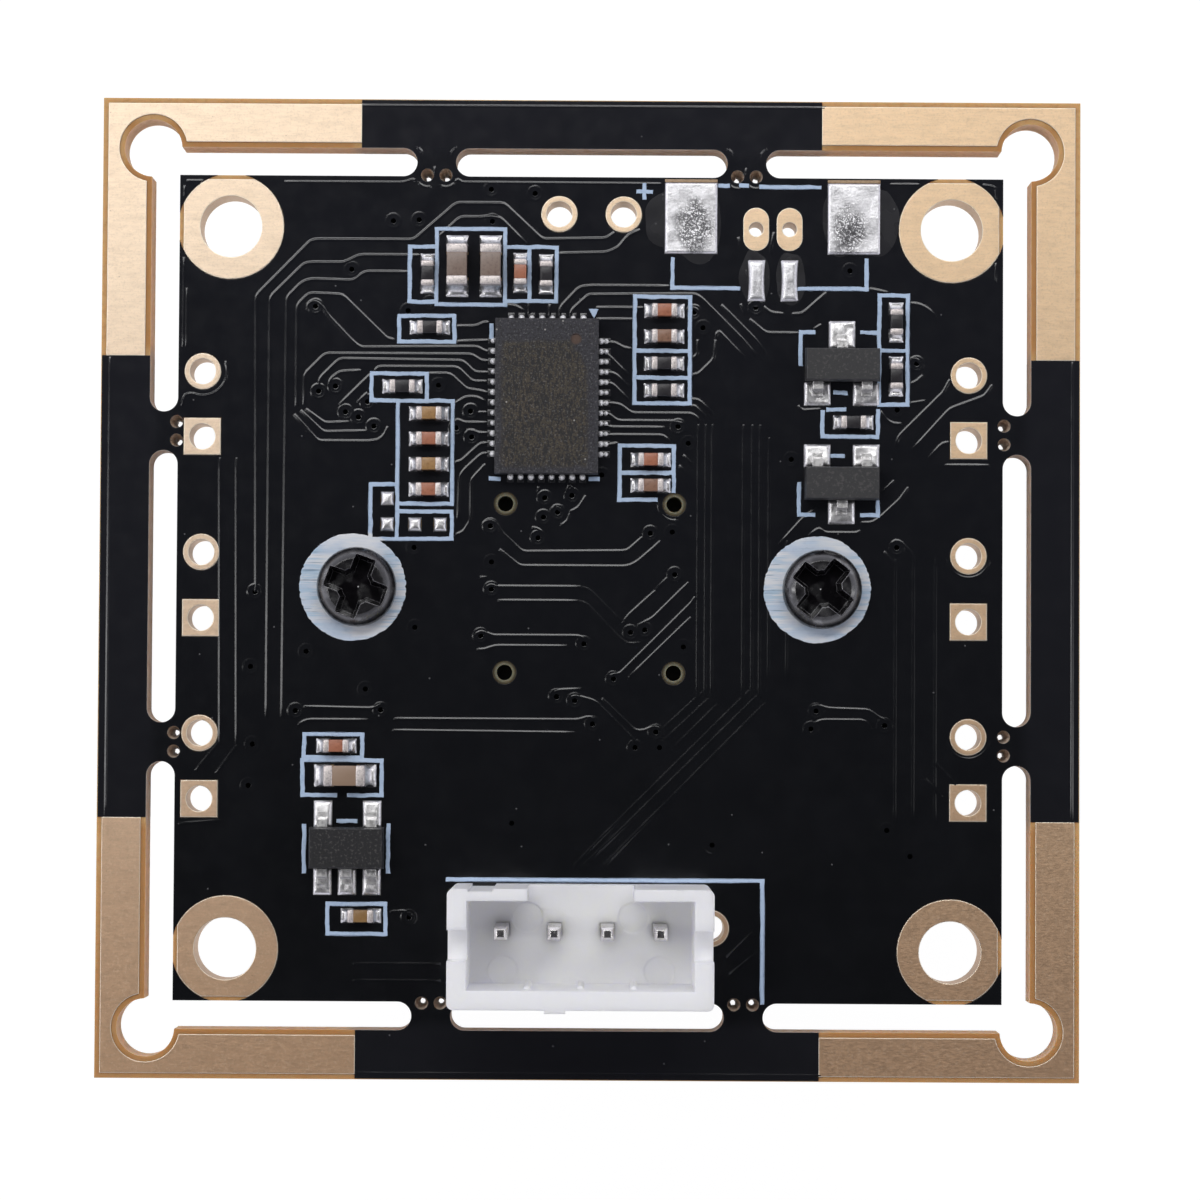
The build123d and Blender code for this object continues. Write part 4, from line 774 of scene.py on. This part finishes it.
tracks = [
    [(-12.9, -0.2), (-13, 11.3), (-10.9, 13.45), (-10.65, 13.5), (-6.9, 13.5), (-5.25, 14.95),
     (-3.4, 14.95), (-1.9, 13.55), (0.6, 13.6), (0.9, 13.85)],
    [(-12.45, -5.05), (-12.45, 11.25), (-11.15, 12.55), (-10.85, 12.6), (-9.6, 12.6), (-9, 12.9),
     (-6.65, 12.9)],
    [(-11.85, -5.05), (-11.8, 11.25), (-11.2, 11.85), (-10.85, 11.95), (-9.25, 11.9),
     (-8.8, 12.25), (-7.1, 12.25)],
    [(-11.4, 7), (-11.4, 10.95), (-10.95, 11.4), (-9.65, 11.35), (-7.9, 9.65), (-7.6, 9.6)],
    [(-5.2, 9.55), (-3.95, 9.6)],
    [(-11.25, 6.85), (-10.35, 6), (-8.65, 6.05)],
    [(-11.5, 6.7), (-10.55, 5.65), (-8.6, 5.65), (-8.2, 5.7), (-7.95, 5.95), (-7.85, 6.25)],
    [(-11.05, 6.9), (-10.3, 6.35), (-9.35, 6.4)],
    [(-11.1, 7.05), (-11.1, 8.25), (-10.3, 9.05), (-4.6, 9.05), (-4.25, 8.8), (-3.95, 8.8)],
    [(-10.55, 7.8), (-10.5, 8.1), (-9.75, 8.85), (-4.95, 8.8), (-4.5, 8.35), (-3.95, 8.35)],
    [(-10.15, 7.85), (-10.1, 8.05), (-9.75, 8.35), (-8.9, 8.4)],
    [(-11, 10.75), (-11, 11), (-10.75, 11.15), (-10.45, 10.95), (-10.25, 10.6), (-9.3, 9.6),
     (-8.95, 9.3), (-4.4, 9.35), (-4.15, 9.2), (-3.95, 9.15)],
    [(-8.4, 8.35), (-8.25, 8.55), (-5.15, 8.55), (-4.6, 8), (-4, 8)],
    [(-6.3, 8.3), (-5.45, 8.3), (-4.8, 7.7), (-4.35, 7.65), (-3.95, 7.55)],
    [(-5.3, 7.1), (-4.85, 7.4), (-4.4, 7.4), (-4.05, 7.2)],
    [(-4.4, 6.8), (-4, 6.8)],
    [(-5.25, 6.5), (-5.1, 6.5), (-4.9, 6.4), (-4, 6.4)],
    [(-4.8, 6.1), (-4.55, 6.1), (-4.35, 6), (-3.95, 6)],
    [(-5.25, 4.85), (-5, 4.9), (-4.25, 5.6), (-3.95, 5.6)],
    [(-5.1, 2.65), (-5.05, 4.3), (-4.9, 4.55), (-4.2, 5.2), (-3.95, 5.2)],
    [(-5.2, 2.05), (-4.9, 2.15), (-4.6, 2.65), (-4.6, 4.15), (-4.5, 4.3), (-4.05, 4.8)],
    [(-9.75, 7.05), (-8.5, 8.3)],
    [(-9.05, 7.15), (-8.65, 7.55)],
    [(-5.2, 10.15), (-4.45, 10.15), (-4.15, 10.3), (-3.95, 10.3)],
    [(-5.9, 13.65), (-5.1, 14.4), (-4.25, 14.4), (-3.95, 14.45), (-3.55, 14.4), (-2.5, 13.35)],
    [(-1.2, 10.55), (-1.2, 10.9), (-0.45, 11.7), (-0.05, 11.75), (3.05, 11.75)],
    [(-0.8, 10.55), (-0.75, 10.8), (-0.15, 11.35), (-0.05, 11.4), (4.05, 11.45), (4.3, 11.3),
     (5.9, 9.7), (6.45, 9.05)],
    [(5.05, 11.05), (6.4, 9.7), (6.8, 9.15)],
    [(4.85, 9.7), (4.9, 9.95), (5, 10), (6, 8.95)],
    [(0.2, 10.9), (2.05, 10.9)],
    [(0.2, 10.45), (1.65, 10.45)],
    [(3.9, 10.95), (4.1, 10.9), (4.25, 10.65)],
    [(5.8, 11.1), (6, 10.65)],
    [(6.15, 10.5), (6.8, 9.95), (8.1, 9.95)],
    [(8.65, 10.1), (8.95, 10.3)],
    [(6.7, 11), (6.95, 10.75), (7.5, 10.7)],
    [(7.8, 10.7), (8.2, 10.7), (9.15, 11.55)],
    [(5.7, 13.7), (5.85, 13.1)],
    [(7.1, 13.9), (6.95, 13.05)],
    [(-2.4, 11.15), (-2.4, 10.6)],
    [(-1.6, 11.05), (-1.6, 10.55)],
    [(-3.25, 11), (-2.9, 10.95), (-2.6, 10.75)],
    [(0.6, 9.55), (0.95, 9.55), (1.25, 9.35), (1.6, 9.3)],
    [(0.6, 9.15), (1.5, 8.25)],
    [(0.55, 8.4), (0.95, 8.35), (1.5, 7.8)],
    [(0.55, 8), (0.85, 7.95), (1.5, 7.3)],
    [(0.55, 7.2), (1.15, 7.15), (1.6, 6.8), (3.9, 6.8), (4.1, 6.7), (4.25, 6.5)],
    [(0.55, 6.8), (0.75, 6.75), (1.05, 6.5), (3.35, 6.5), (3.65, 6.4)],
    [(0.55, 6.35), (0.8, 6.25), (2.9, 6.25)],
    [(0.55, 5.95), (2.85, 5.95), (3.1, 5.7)],
    [(0.55, 5.55), (0.9, 5.6), (1.1, 5.65)],
    [(3.6, 5.2), (4, 4.8)],
    [(3.45, 4.8), (3.65, 4.55)],
    [(3.8, 7.35), (4.2, 7.35), (4.75, 6.8)],
    [(3.9, 7.1), (4.05, 7.1), (4.5, 6.65)],
    [(3.95, 8.95), (4.15, 9.1), (4.15, 9.7)],
    [(3.95, 8.3), (4.2, 8.35), (4.8, 8.95), (4.85, 9.7)],
    [(-4.25, 0.4), (-3.95, 0.4)],
    [(-4.05, 0), (-3.8, 0.15), (-3.6, 0.05), (-0.3, 0.05)],
    [(-3.55, -0.5), (-0.4, -0.5)],
    [(-4.45, -1.85), (-4.2, -1.65), (-3.85, -1.8), (-3.7, -1.85), (-0.4, -1.85), (-0.1, -1.95)],
    [(-4.35, -2.4), (-4.05, -2.4), (-3.65, -2.25), (-0.8, -2.25)],
    [(2.55, -0.05), (3.05, 0.45)],
    [(1.3, -1.35), (1.5, -1.05), (2.6, -0.05)],
    [(1.85, -1.45), (2.45, -1.15), (3.85, 0.25)],
    [(0.75, -3.4), (1, -3.3), (1.2, -3.3), (3.95, -0.55), (4.1, -0.3)],
    [(1.55, -3.45), (3.95, -1.1)],
    [(-1.4, -4.05), (-1.2, -3.95), (-0.25, -3.9)],
    [(-0.75, -4.25), (-0.55, -4.15), (0.05, -4.3), (0.3, -4.4), (1.95, -6.05)],
    [(0.5, -4.25), (1.8, -5.5), (2.15, -5.5), (2.55, -5.3), (2.85, -5.45)],
    [(-11.05, -4.65), (-8.35, -4.7), (-8, -4.5)],
    [(-11.25, -5.35), (-10.9, -5.15), (-8.5, -5.15)],
    [(-7.55, -5.1), (-0.4, -5.1), (0.05, -4.95), (0.4, -5.15)],
    [(-7.6, -5.55), (-0.5, -5.6)],
    [(-2, 3.95), (-2, 3.7)],
    [(-1.35, 3.2), (-1.55, 3)],
    [(-1.35, 3.2), (-1.05, 3)],
    [(-0.8, 4), (-0.95, 3.65)],
    [(-0.8, 4), (-0.45, 3.65)],
    [(-0.8, 2.95), (-0.45, 3.1), (-0.15, 3.6)],
    [(-1.15, 2.4), (-0.85, 2.6), (-0.75, 2.95)],
    [(-2.25, 2.35), (-2, 2.3), (-1.75, 2.1)],
    [(13.95, 5.75), (13.65, 5.7), (13.15, 5.15)],
    [(11.3, 3.75), (11.8, 4.25)],
    [(10.5, 2.6), (10.95, 2.6), (11.3, 2.85), (12.05, 3.55), (12.35, 4)],
    [(7.35, 1.75), (8.25, 2.75), (8.75, 3.15)],
    [(8.5, 2.1), (8.9, 2.4), (9.1, 2.2), (10.35, 2.2), (10.5, 2.3)],
    [(8.05, 7.15), (8.2, 6.95), (8.95, 7)],
    [(11.25, 6.95), (11.5, 6.6), (11.75, 6.45), (12.1, 6.45)],
    [(12.4, 9), (12.65, 9), (12.8, 8.85)],
    [(12.4, 8), (12.65, 8.1), (12.9, 8.35)],
    [(12.4, 7.25), (13, 7.35)],
    [(10.8, 11.7), (11.55, 11.55)],
    [(12.4, 11.15), (12.8, 11.1), (13.15, 10.9), (13.4, 10.6)],
    [(11.65, 1.75), (11.85, 1.95), (12.1, 1.85), (12.5, 1.4), (12.6, 1.1)],
    [(11.4, 1.5), (11.85, 0.95)],
    [(13.75, 4.85), (15.5, 4.85)],
    [(8.55, -4.6), (8.8, -4.45), (9.25, -4.6), (10.85, -4.65), (11.25, -4.95), (11.7, -5.1)],
    [(8.7, -5.2), (9, -5.05), (10.7, -5.05), (10.95, -5.4)],
    [(13.45, -6.7), (14.25, -7.55)],
    [(13.05, -7.3), (13.7, -8)],
    [(-7.65, -12.55), (-7, -12.5), (-6.75, -12.7)],
    [(-1.35, 13), (0.6, 13.05), (1.05, 13.25), (1.45, 13.75), (1.9, 13.95)],
    [(-4.15, 2.4), (-4.1, 2.55), (-3.85, 2.65), (-3.6, 2.5), (-3.45, 2.2), (-2.6, 1.4),
     (1.45, 1.45), (2.05, 2)],
    [(-3.5, 1.5), (-2.7, 0.85), (1.45, 0.85), (1.8, 1), (2.5, 1.6), (2.75, 1.85)],
    [(13.95, 8.2), (13.7, 7.7), (13.55, 7.55), (11.95, 5.95), (11.85, 5.6)],
    [(15.6, 8), (15.3, 7.55), (13.95, 7.05), (12.5, 5.45)],
]
faint_tracks = [
    [(-0.3, 0.05), (0.0, -0.05), (1.25, -1.3)],
    [(-0.4, -0.5), (-0.1, -0.6), (1.2, -1.95), (1.5, -2.15), (2.0, -2.1)],
    [(2.9, -5.4), (4.4, -4)],
    [(2.95, -5.85), (4.65, -4.25)],
    [(3.4, -6.05), (5, -4.45)],
    [(-0.5, -10.7), (0.45, -9.7), (6.25, -3.9)],
    [(-0.15, -10.7), (0.9, -9.7), (6.6, -4.05)],
    [(0.65, -10.7), (1.6, -9.7), (6.85, -4.4)],
    [(-14.35, 5), (-14.25, -6.15)],
    [(-13.7, 5), (-13.6, -6.1)],
    [(-14.3, -6.05), (-15.2, -7.15)],
    [(-13.6, -6.15), (-14.4, -7.25)],
    [(-15.85, -9.2), (-14.2, -9.05)],
    [(-9.05, -14.55), (-5.65, -14.55)],
    [(-9.05, -15.2), (-5.65, -15.2)],
    [(5.4, -14.25), (6.4, -13.25)],
    [(5.5, -14.9), (6.6, -14)],
]
for low, high, *places in (
    (-4.2, 6.4, 4.2, 4.5, 4.75, 5.95, 6.3, 6.6),
    (-3.4, 5.9, 6.95),
    (-3.4, 1.9, 7.65),
    (-9.0, 1.2, 11.85, 12.55, 13.4),
):
    faint_tracks += [[(x, high), (x, low)] for x in places]
vias = [
    (-3.9, 15.5), (-2.2, 15.35), (-7.7, 14.25), (-6.7, 14.3), (-3.85, 14.25), (-9.3, 12.35),
    (-6.25, 11.05), (-7.1, 10.75), (-10.7, 10.9), (-10.55, 7.6), (-9.9, 7.8), (-9.5, 6.8),
    (-9, 6.6), (-8.65, 7.2), (-8.4, 6.25), (-5.9, 7.85), (-4.65, 6.85), (-5.2, 6.2),
    (-4.6, 5.85), (-5.85, 3.2), (-6.8, 1.55), (-3.85, 2.4), (-3.8, 1), (-3.8, -0.05),
    (-1.75, 3.5), (-1.25, 2.95), (-0.7, 3.6), (-1.8, 2.75), (-2, 1.95), (0.45, 4.4), (4, 10.75),
    (4.35, 10.15), (6.4, 10.95), (10.05, 12.4), (3.4, 6.3), (3.8, 5.65), (7.8, 5.05),
    (2.35, 2.15), (3.2, 2.2), (3.3, 0.55), (12.65, 8.8), (11.9, 7), (11.9, 1.65), (-12.95, -0.2),
    (-10.95, -2.5), (-13.1, -3.1), (-8.65, -3.95), (-11.35, -4.8), (-8.05, -4.75), (-13, -6.1),
    (-13.15, -7.7), (-6.75, -1.55), (-4.2, -1.85), (-0.2, -2.15), (-1.25, -4.2), (-0.55, -4.35),
    (0.15, -5.25), (0.95, -3.5), (1.6, -1.7), (2.15, -1.6), (3.65, -2.25), (2.6, -5.55),
    (1.8, -6.15), (2.75, -6.15), (8.8, -4.7), (8.6, -5.4), (11.45, -5.25), (-2.95, -9.1),
    (4.8, -9.9), (-6.9, -12.75), (12.45, -10.3), (11.55, -9.3),
]
track_shape = Shape()
for run in tracks:
    track_shape.add(ridge(run, track_width, track_height, mask_top))
for run in faint_tracks:
    track_shape.add(ridge(run, track_width, faint_height, mask_top))

# Edges of the copper planes: round the slots, along the board's sides and round the wiring holes
plane_runs = [
    [(-9.0, 18.75), (9.1, 18.75)],
    [(-18.65, 8.9), (-18.65, -8.9)],
    [(18.7, 8.9), (18.7, -8.9)],
    [(-9.0, -18.75), (9.1, -18.75)],
    [(-11.95, 15.75), (-7.3, 15.75), (-6.98, 15.87), (-6.85, 15.85)],
    [(-5.32, 15.78), (-5.2, 15.9), (-5.05, 15.77), (2.7, 15.75)],
    [(-6.1, 16.4), (-6.1, 16.1)],
    [(6.0, 16.4), (6.0, 16.1)],
    [(11.6, 15.78), (12.75, 15.78)],
    [(15.2, 15.78), (15.72, 15.7), (15.72, 15.2)],
    [(15.72, 12.75), (15.72, 12.0)],
    [(-15.82, 15.6), (-15.82, 15.2)],
    [(-15.82, 12.8), (-15.82, 9.3)],
    [(-15.75, 15.77), (-15.1, 15.77)],
    [(-15.7, 11.6), (-15.7, 9.3)],
    arc_run(-15.05, 8.35, 0.95, 25, -115),
    [(-15.45, 7.48), (-15.75, 7.45), (-15.85, 7.0)],
    arc_run(14.68, 1.33, 0.84, -10, -170),
    arc_run(14.68, -5.68, 0.84, -10, -170),
    arc_run(post_reach, post_reach, 0.62, -75, -190),
]
for side in (-1, 1):
    for bite in (-1, 1):
        first, last = ((-150, -65) if bite < 0 else (-125, -30)) if side < 0 else (-140, -50)
        round_bite = side * tab_middle + bite * bite_reach
        plane_runs.append(arc_run(round_bite, *bite_edge, first, last, 8))
        slot_end = side * tab_middle + bite * slot_edge[0]
        plane_runs.append(arc_run(slot_end, *slot_edge[1:], 90 + bite * 65, 90 + bite * 30, 6))
for run in plane_runs:
    level_run = abs(run[-1][0] - run[0][0]) > abs(run[-1][1] - run[0][1])
    height = level_edge_height if level_run else track_height
    track_shape.add(ridge(run, plane_edge_width, height, mask_top))
track_shape.piece("tracks_under_mask", [mask], "solder_mask")

via_profile = [
    (0.10, 0.001), (0.115, 0.006), (0.135, 0.009), (0.16, 0.006), (0.20, 0.006), (0.235, 0.013),
    (0.265, 0.017), (0.295, 0.012), (0.325, 0.003), (0.34, 0.0),
]
# Painted shade: the flat disc in each via's middle takes the black via paint.
via_shade_disc = [(0.0, 0.001), (0.05, 0.001), (0.10, 0.001)]
via_shape = Shape()
track_ends = [Vector(p) for run in tracks for p in (run[0], run[-1])]
for x, y in vias:
    joined = any((end - Vector((x, y))).length < 0.45 for end in track_ends)
    relief = 0.85 if joined else 0.5
    crest = [(radius, height * relief) for radius, height in via_profile]
    for side in (at(x, y, mask_top), at(x, y, mask_bottom) @ Matrix.Rotation(math.pi, 4, "X")):
        via_shape.add(turned(crest, 24), 0, side)
        via_shape.add(turned(via_shade_disc, 24), 1, side)
via_shape.piece("tented_vias", [mask, via_hole_shade], "solder_mask")

# Printed lines with the uneven outline of real ink, drill burrs and the lands' bare edge


def inked(name):
    """The printed lines of that node, their outline made slightly wavy."""
    shape = bmesh.new()
    shape.from_mesh(frame["nodes"][name].data)
    longest = 0.12 * MM
    for _ in range(9):
        long_edges = [edge for edge in shape.edges if edge.calc_length() > longest]
        if not long_edges:
            break
        bmesh.ops.subdivide_edges(shape, edges=long_edges, cuts=1)
    for vertex in shape.verts:
        place = vertex.co / MM
        wave = Vector((place.x, place.y, 0.0))
        shift = noise.noise_vector(wave * 2.2) * 0.03 + noise.noise_vector(wave * 7.0) * 0.016
        vertex.co.x += shift.x * MM
        vertex.co.y += shift.y * MM
        ring = Vector((abs(place.x - ring_middle) - screw_reach, place.y))
        if 1.9 < ring.length < 2.3:
            comb = noise.noise(Vector((3.0 if place.x > 0 else 7.0, place.y * 11.0, 0.0)))
            cut = math.copysign(0.09 * max(0.0, comb), place.x - ring_middle)
            vertex.co.x -= math.copysign(1, ring.x) * cut * MM
    mesh = bpy.data.meshes.new(name + "_dressed")
    shape.to_mesh(mesh)
    shape.free()
    mesh.materials.clear()
    mesh.materials.append(legend.material)
    made = bpy.data.objects.new(name + "_dressed", mesh)
    bpy.context.scene.collection.objects.link(made)
    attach(made, "module")
    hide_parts(name)


inked("printed_legend")

burr_shape = Shape()


def burr(seed):
    """Ragged fibres that narrow a drilled bite near its lower end."""
    profile = [(0.255, -0.2), (0.21, -0.45), (0.15, -0.8), (0.1, -1.3), (0.11, -1.59), (0.26, -1.60)]

    def point(u, v):
        radius, height = profile[round(v * (len(profile) - 1))]
        angle = u * math.tau
        ragged = noise.noise(Vector((math.cos(angle) * 1.5 + seed, math.sin(angle) * 1.5, height * 4)))
        radius += 0.04 * ragged * (radius < 0.25)
        return radius * math.cos(angle), radius * math.sin(angle), height
    return grid(24, len(profile) - 1, point)


for side in (-1, 1):
    for end in (-1, 1):
        for bite in (-1, 1):
            along = side * tab_middle + bite * bite_reach
            burr_shape.add(burr(along + end), 0, at(along, end * bite_line))
            burr_shape.add(burr(along - end), 0, at(end * bite_line, along))
burr_shape.piece("bite_burrs", [fibre], "laminate")

edge_shape = Shape()
for x in cable_lands:
    edge_shape.add(block(cable_land_size[0], 0.12, 0.045, 0.01), 0, at(x, bare_edge_y))
edge_shape.piece("bare_land_edges", [land_edge], "laminate")

# Chip parts with rounded bodies, metal ends and drawn-up solder

chip_sizes = {  # cap length, land overall length, land width
    "0402": (0.25, 1.56, 0.56),
    "0603": (0.36, 2.40, 0.86),
}
chip_solder = Shape()


def solder_end(half_length, half_land, half_width, climb):
    """Solder from a chip's end down to the land's outer edge, pulled in at its waist."""
    waist = random.uniform(0.12, 0.2)
    lip = random.uniform(0.04, 0.075)
    phase = random.uniform(0, 9)

    def point(u, v):
        side = 2 * v - 1
        along = half_length - 0.03 + (half_land - half_length + 0.03) * u
        wide = half_width * (1 - waist * math.sin(math.pi * min(1, u * 1.15)) - 0.05 * (u > 0.97))
        top = 0.06 + (climb - 0.06) * (1 - u) ** 2.0 + lip * math.exp(-(((u - 0.8) / 0.2) ** 2))
        top *= 1 - 0.8 * abs(side) ** 5
        top *= 1 - 0.6 * max(0, u - 0.9) / 0.1
        lump = noise.noise(Vector((along * 3 + phase, side * 1.3, phase))) * 0.02
        return along, side * wide, max(0.045, top + lump)
    return grid(14, 12, point)


for name, slot in node_slots.items():
    if not name.startswith(("capacitor_", "resistor_")):
        continue
    centre, size = node_box(name)
    upright = size.y > size.x
    length, width, height = (size.y, size.x, size.z) if upright else (size.x, size.y, size.z)
    cap, land_length, land_width = chip_sizes["0603" if length > 1.3 else "0402"]
    seat = centre.z - height / 2
    spin = at(centre.x, centre.y, seat, 90 if upright else 0)
    shape = Shape()
    body = block(length - 2 * cap + 0.06, width - 0.03, height - 0.03, 0.03)
    shape.add(body, 0, spin @ at(0, 0, 0.012))
    for side in (0, 180):
        end_place = spin @ at(0, 0, 0, side) @ at((length - cap) / 2, 0)
        shape.add(block(cap, width, height, 0.065, 3), 1, end_place)
        climb = seat + height * random.uniform(0.5, 0.62)
        base = at(centre.x, centre.y, 0, (90 if upright else 0) + side)
        chip_solder.add(solder_end(length / 2, land_length / 2, land_width / 2, climb), 0, base)
        film = land_length / 2 - length / 2 + 0.25
        film_place = base @ at(land_length / 2 - film / 2 + 0.01, 0)
        chip_solder.add(block(film, land_width + 0.03, 0.044, 0.005, 1), 1, film_place)
    shape.piece(name + "_dressed", [slot_paints[slot], cap_metal], slot, replaced=[name])
chip_solder.piece("chip_solder_dressed", [solder, flux], "solder", replaced=["chip_solder_joints"])

# Processor leads: small beads of solder at each one

lead_shape = Shape()
centre, size = node_box("image_processor")


def bead(radius_x, radius_y, height):
    """Half of a rounded bead on z = 0."""
    def point(u, v):
        angle = u * math.tau
        lift = v * math.pi / 2
        return (
            radius_x * math.cos(angle) * math.cos(lift),
            radius_y * math.sin(angle) * math.cos(lift),
            height * math.sin(lift),
        )
    return grid(16, 6, point)


def lead(x, y, turn, far):
    """One lead, pointing outwards along its own X."""
    spin = at(x, y, 0.0, turn)
    grow = random.uniform(0.88, 1.08)
    reach = 0.58 if far else 0.42
    lead_shape.add(block(reach, 0.26, 0.046, 0.008), 1, spin @ at(reach / 2 - 0.12, 0))
    lead_shape.add(bead(0.125 * grow, 0.115 * grow, 0.22), 0, spin @ at(0.085, 0, 0.04))
    if far:
        lead_shape.add(bead(0.10 * grow, 0.095 * grow, 0.15), 0, spin @ at(0.29, 0, 0.04))


for index in range(12):
    along = (index - 5.5) * lead_pitch
    lead(centre.x - size.x / 2, centre.y + along, 180, False)
    lead(centre.x + size.x / 2, centre.y + along, 0, True)
for index in range(8):
    along = (index - 3.5) * lead_pitch
    lead(centre.x + along, centre.y + size.y / 2, 90, False)
    lead(centre.x + along, centre.y - size.y / 2, -90, False)
lead_shape.piece("processor_lead_beads", [bead_solder, flux], "solder", replaced=["processor_leads"])

# Solder on the legs' lands, the cable lands and the unfitted lands


def pillow(width, length, height, roll, lump, seed, tilt=0.0, pinch=0.0):
    """Solder lying on a rectangular land: a rolled edge and a softly uneven top."""
    def point(u, v):
        x = (u - 0.5) * width
        y = (v - 0.5) * length
        edge = min(width / 2 - abs(x), length / 2 - abs(y)) / roll
        rise = math.sqrt(max(0.0, 1 - (1 - min(1.0, edge)) ** 2))
        bumps = noise.noise(Vector((x * 1.6 + seed, y * 1.6, seed))) * lump
        bumps += noise.noise(Vector((x * 5 + seed, y * 5, seed))) * lump * 0.2
        x *= 1 - pinch * math.cos(math.pi * (v - 0.5))
        return x, y, 0.03 + rise * max(0.03, height + bumps + tilt * y)
    return grid(max(12, int(width * 18)), max(12, int(length * 18)), point)


leg_shape = Shape()
transistor_land = (1.04, 0.9)
transistor_leg_y = 1.1
regulator_land = (0.72, 1.05)
regulator_leg_y = 1.3
for x, y, flag in transistors:
    for dx, side in ((0, flag), (-leg_step, -flag), (leg_step, -flag)):
        spin = at(x + dx, y + side * transistor_leg_y, 0, 0 if side > 0 else 180)
        longer = 0.2 if dx == 0 and flag > 0 else 0.0
        width, length = transistor_land
        joint = pillow(width, length + longer, 0.13, 0.14, 0.06, x + dx + y, -0.08)
        leg_shape.add(joint, 0, spin @ at(0, longer / 2))
for dx, side in ((-leg_step, 1), (leg_step, 1), (-leg_step, -1), (0, -1), (leg_step, -1)):
    spin = at(regulator[0] + dx, regulator[1] + side * regulator_leg_y, 0, 0 if side > 0 else 180)
    leg_shape.add(pillow(*regulator_land, 0.14, 0.14, 0.06, dx * 3 + side, -0.06), 0, spin)
leg_shape.piece("leg_solder_dressed", [solder], "solder", replaced=["leg_solder"])

land_shape = Shape()
for x in cable_lands:
    land_shape.add(pillow(*cable_land_size, 0.13, 0.06, 0.02, x), 0, at(x, cable_land_y))
for x in wire_lands:
    land_shape.add(pillow(*wire_land_size, 0.14, 0.22, 0.035, x * 2, pinch=0.12), 0, at(x, wire_land_y))
for x, y in open_lands:
    land_shape.add(pillow(*open_land_size, 0.16, 0.2, 0.04, x + y, pinch=0.08), 1, at(x, y))
land_shape.piece("tinned_lands_dressed", [tin, solder], "tinned_solder", replaced=["tinned_lands"])


def pool(radius_x, radius_y, height, seed):
    """A thin dried pool of flux with an uneven outline."""
    def point(u, v):
        angle = u * math.tau
        edge = 1 + 0.16 * noise.noise(Vector((math.cos(angle) * 1.3 + seed, math.sin(angle) * 1.3, seed)))
        out = (1 - v) * edge
        level = height * (1 - (1 - v) ** 4) - 0.35 * height * math.sin(math.pi * v) ** 2
        return radius_x * out * math.cos(angle), radius_y * out * math.sin(angle), max(0.0, level)
    return grid(40, 8, point)


flux_shape = Shape()
flux_height = 0.012
flux_pools = (  # x, y and the two radii
    (3.3, 14.35, 1.25, 1.25), (4.1, 14.2, 1.02, 1.5), (10.0, 14.35, 1.1, 1.4), (11.0, 14.3, 1.0, 1.3),
    (6.35, 12.1, 0.62, 1.1), (7.75, 12.05, 0.6, 1.05),
)
for x, y, radius_x, radius_y in flux_pools:
    flux_shape.add(pool(radius_x, radius_y, flux_height, x), 0, at(x, y, mask_top))
flux_shape.piece("flux_residue", [flux], "solder_mask")

low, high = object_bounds()
{"cad": [list(cad_box[0]), list(cad_box[1])], "visual": [list(low), list(high)]}
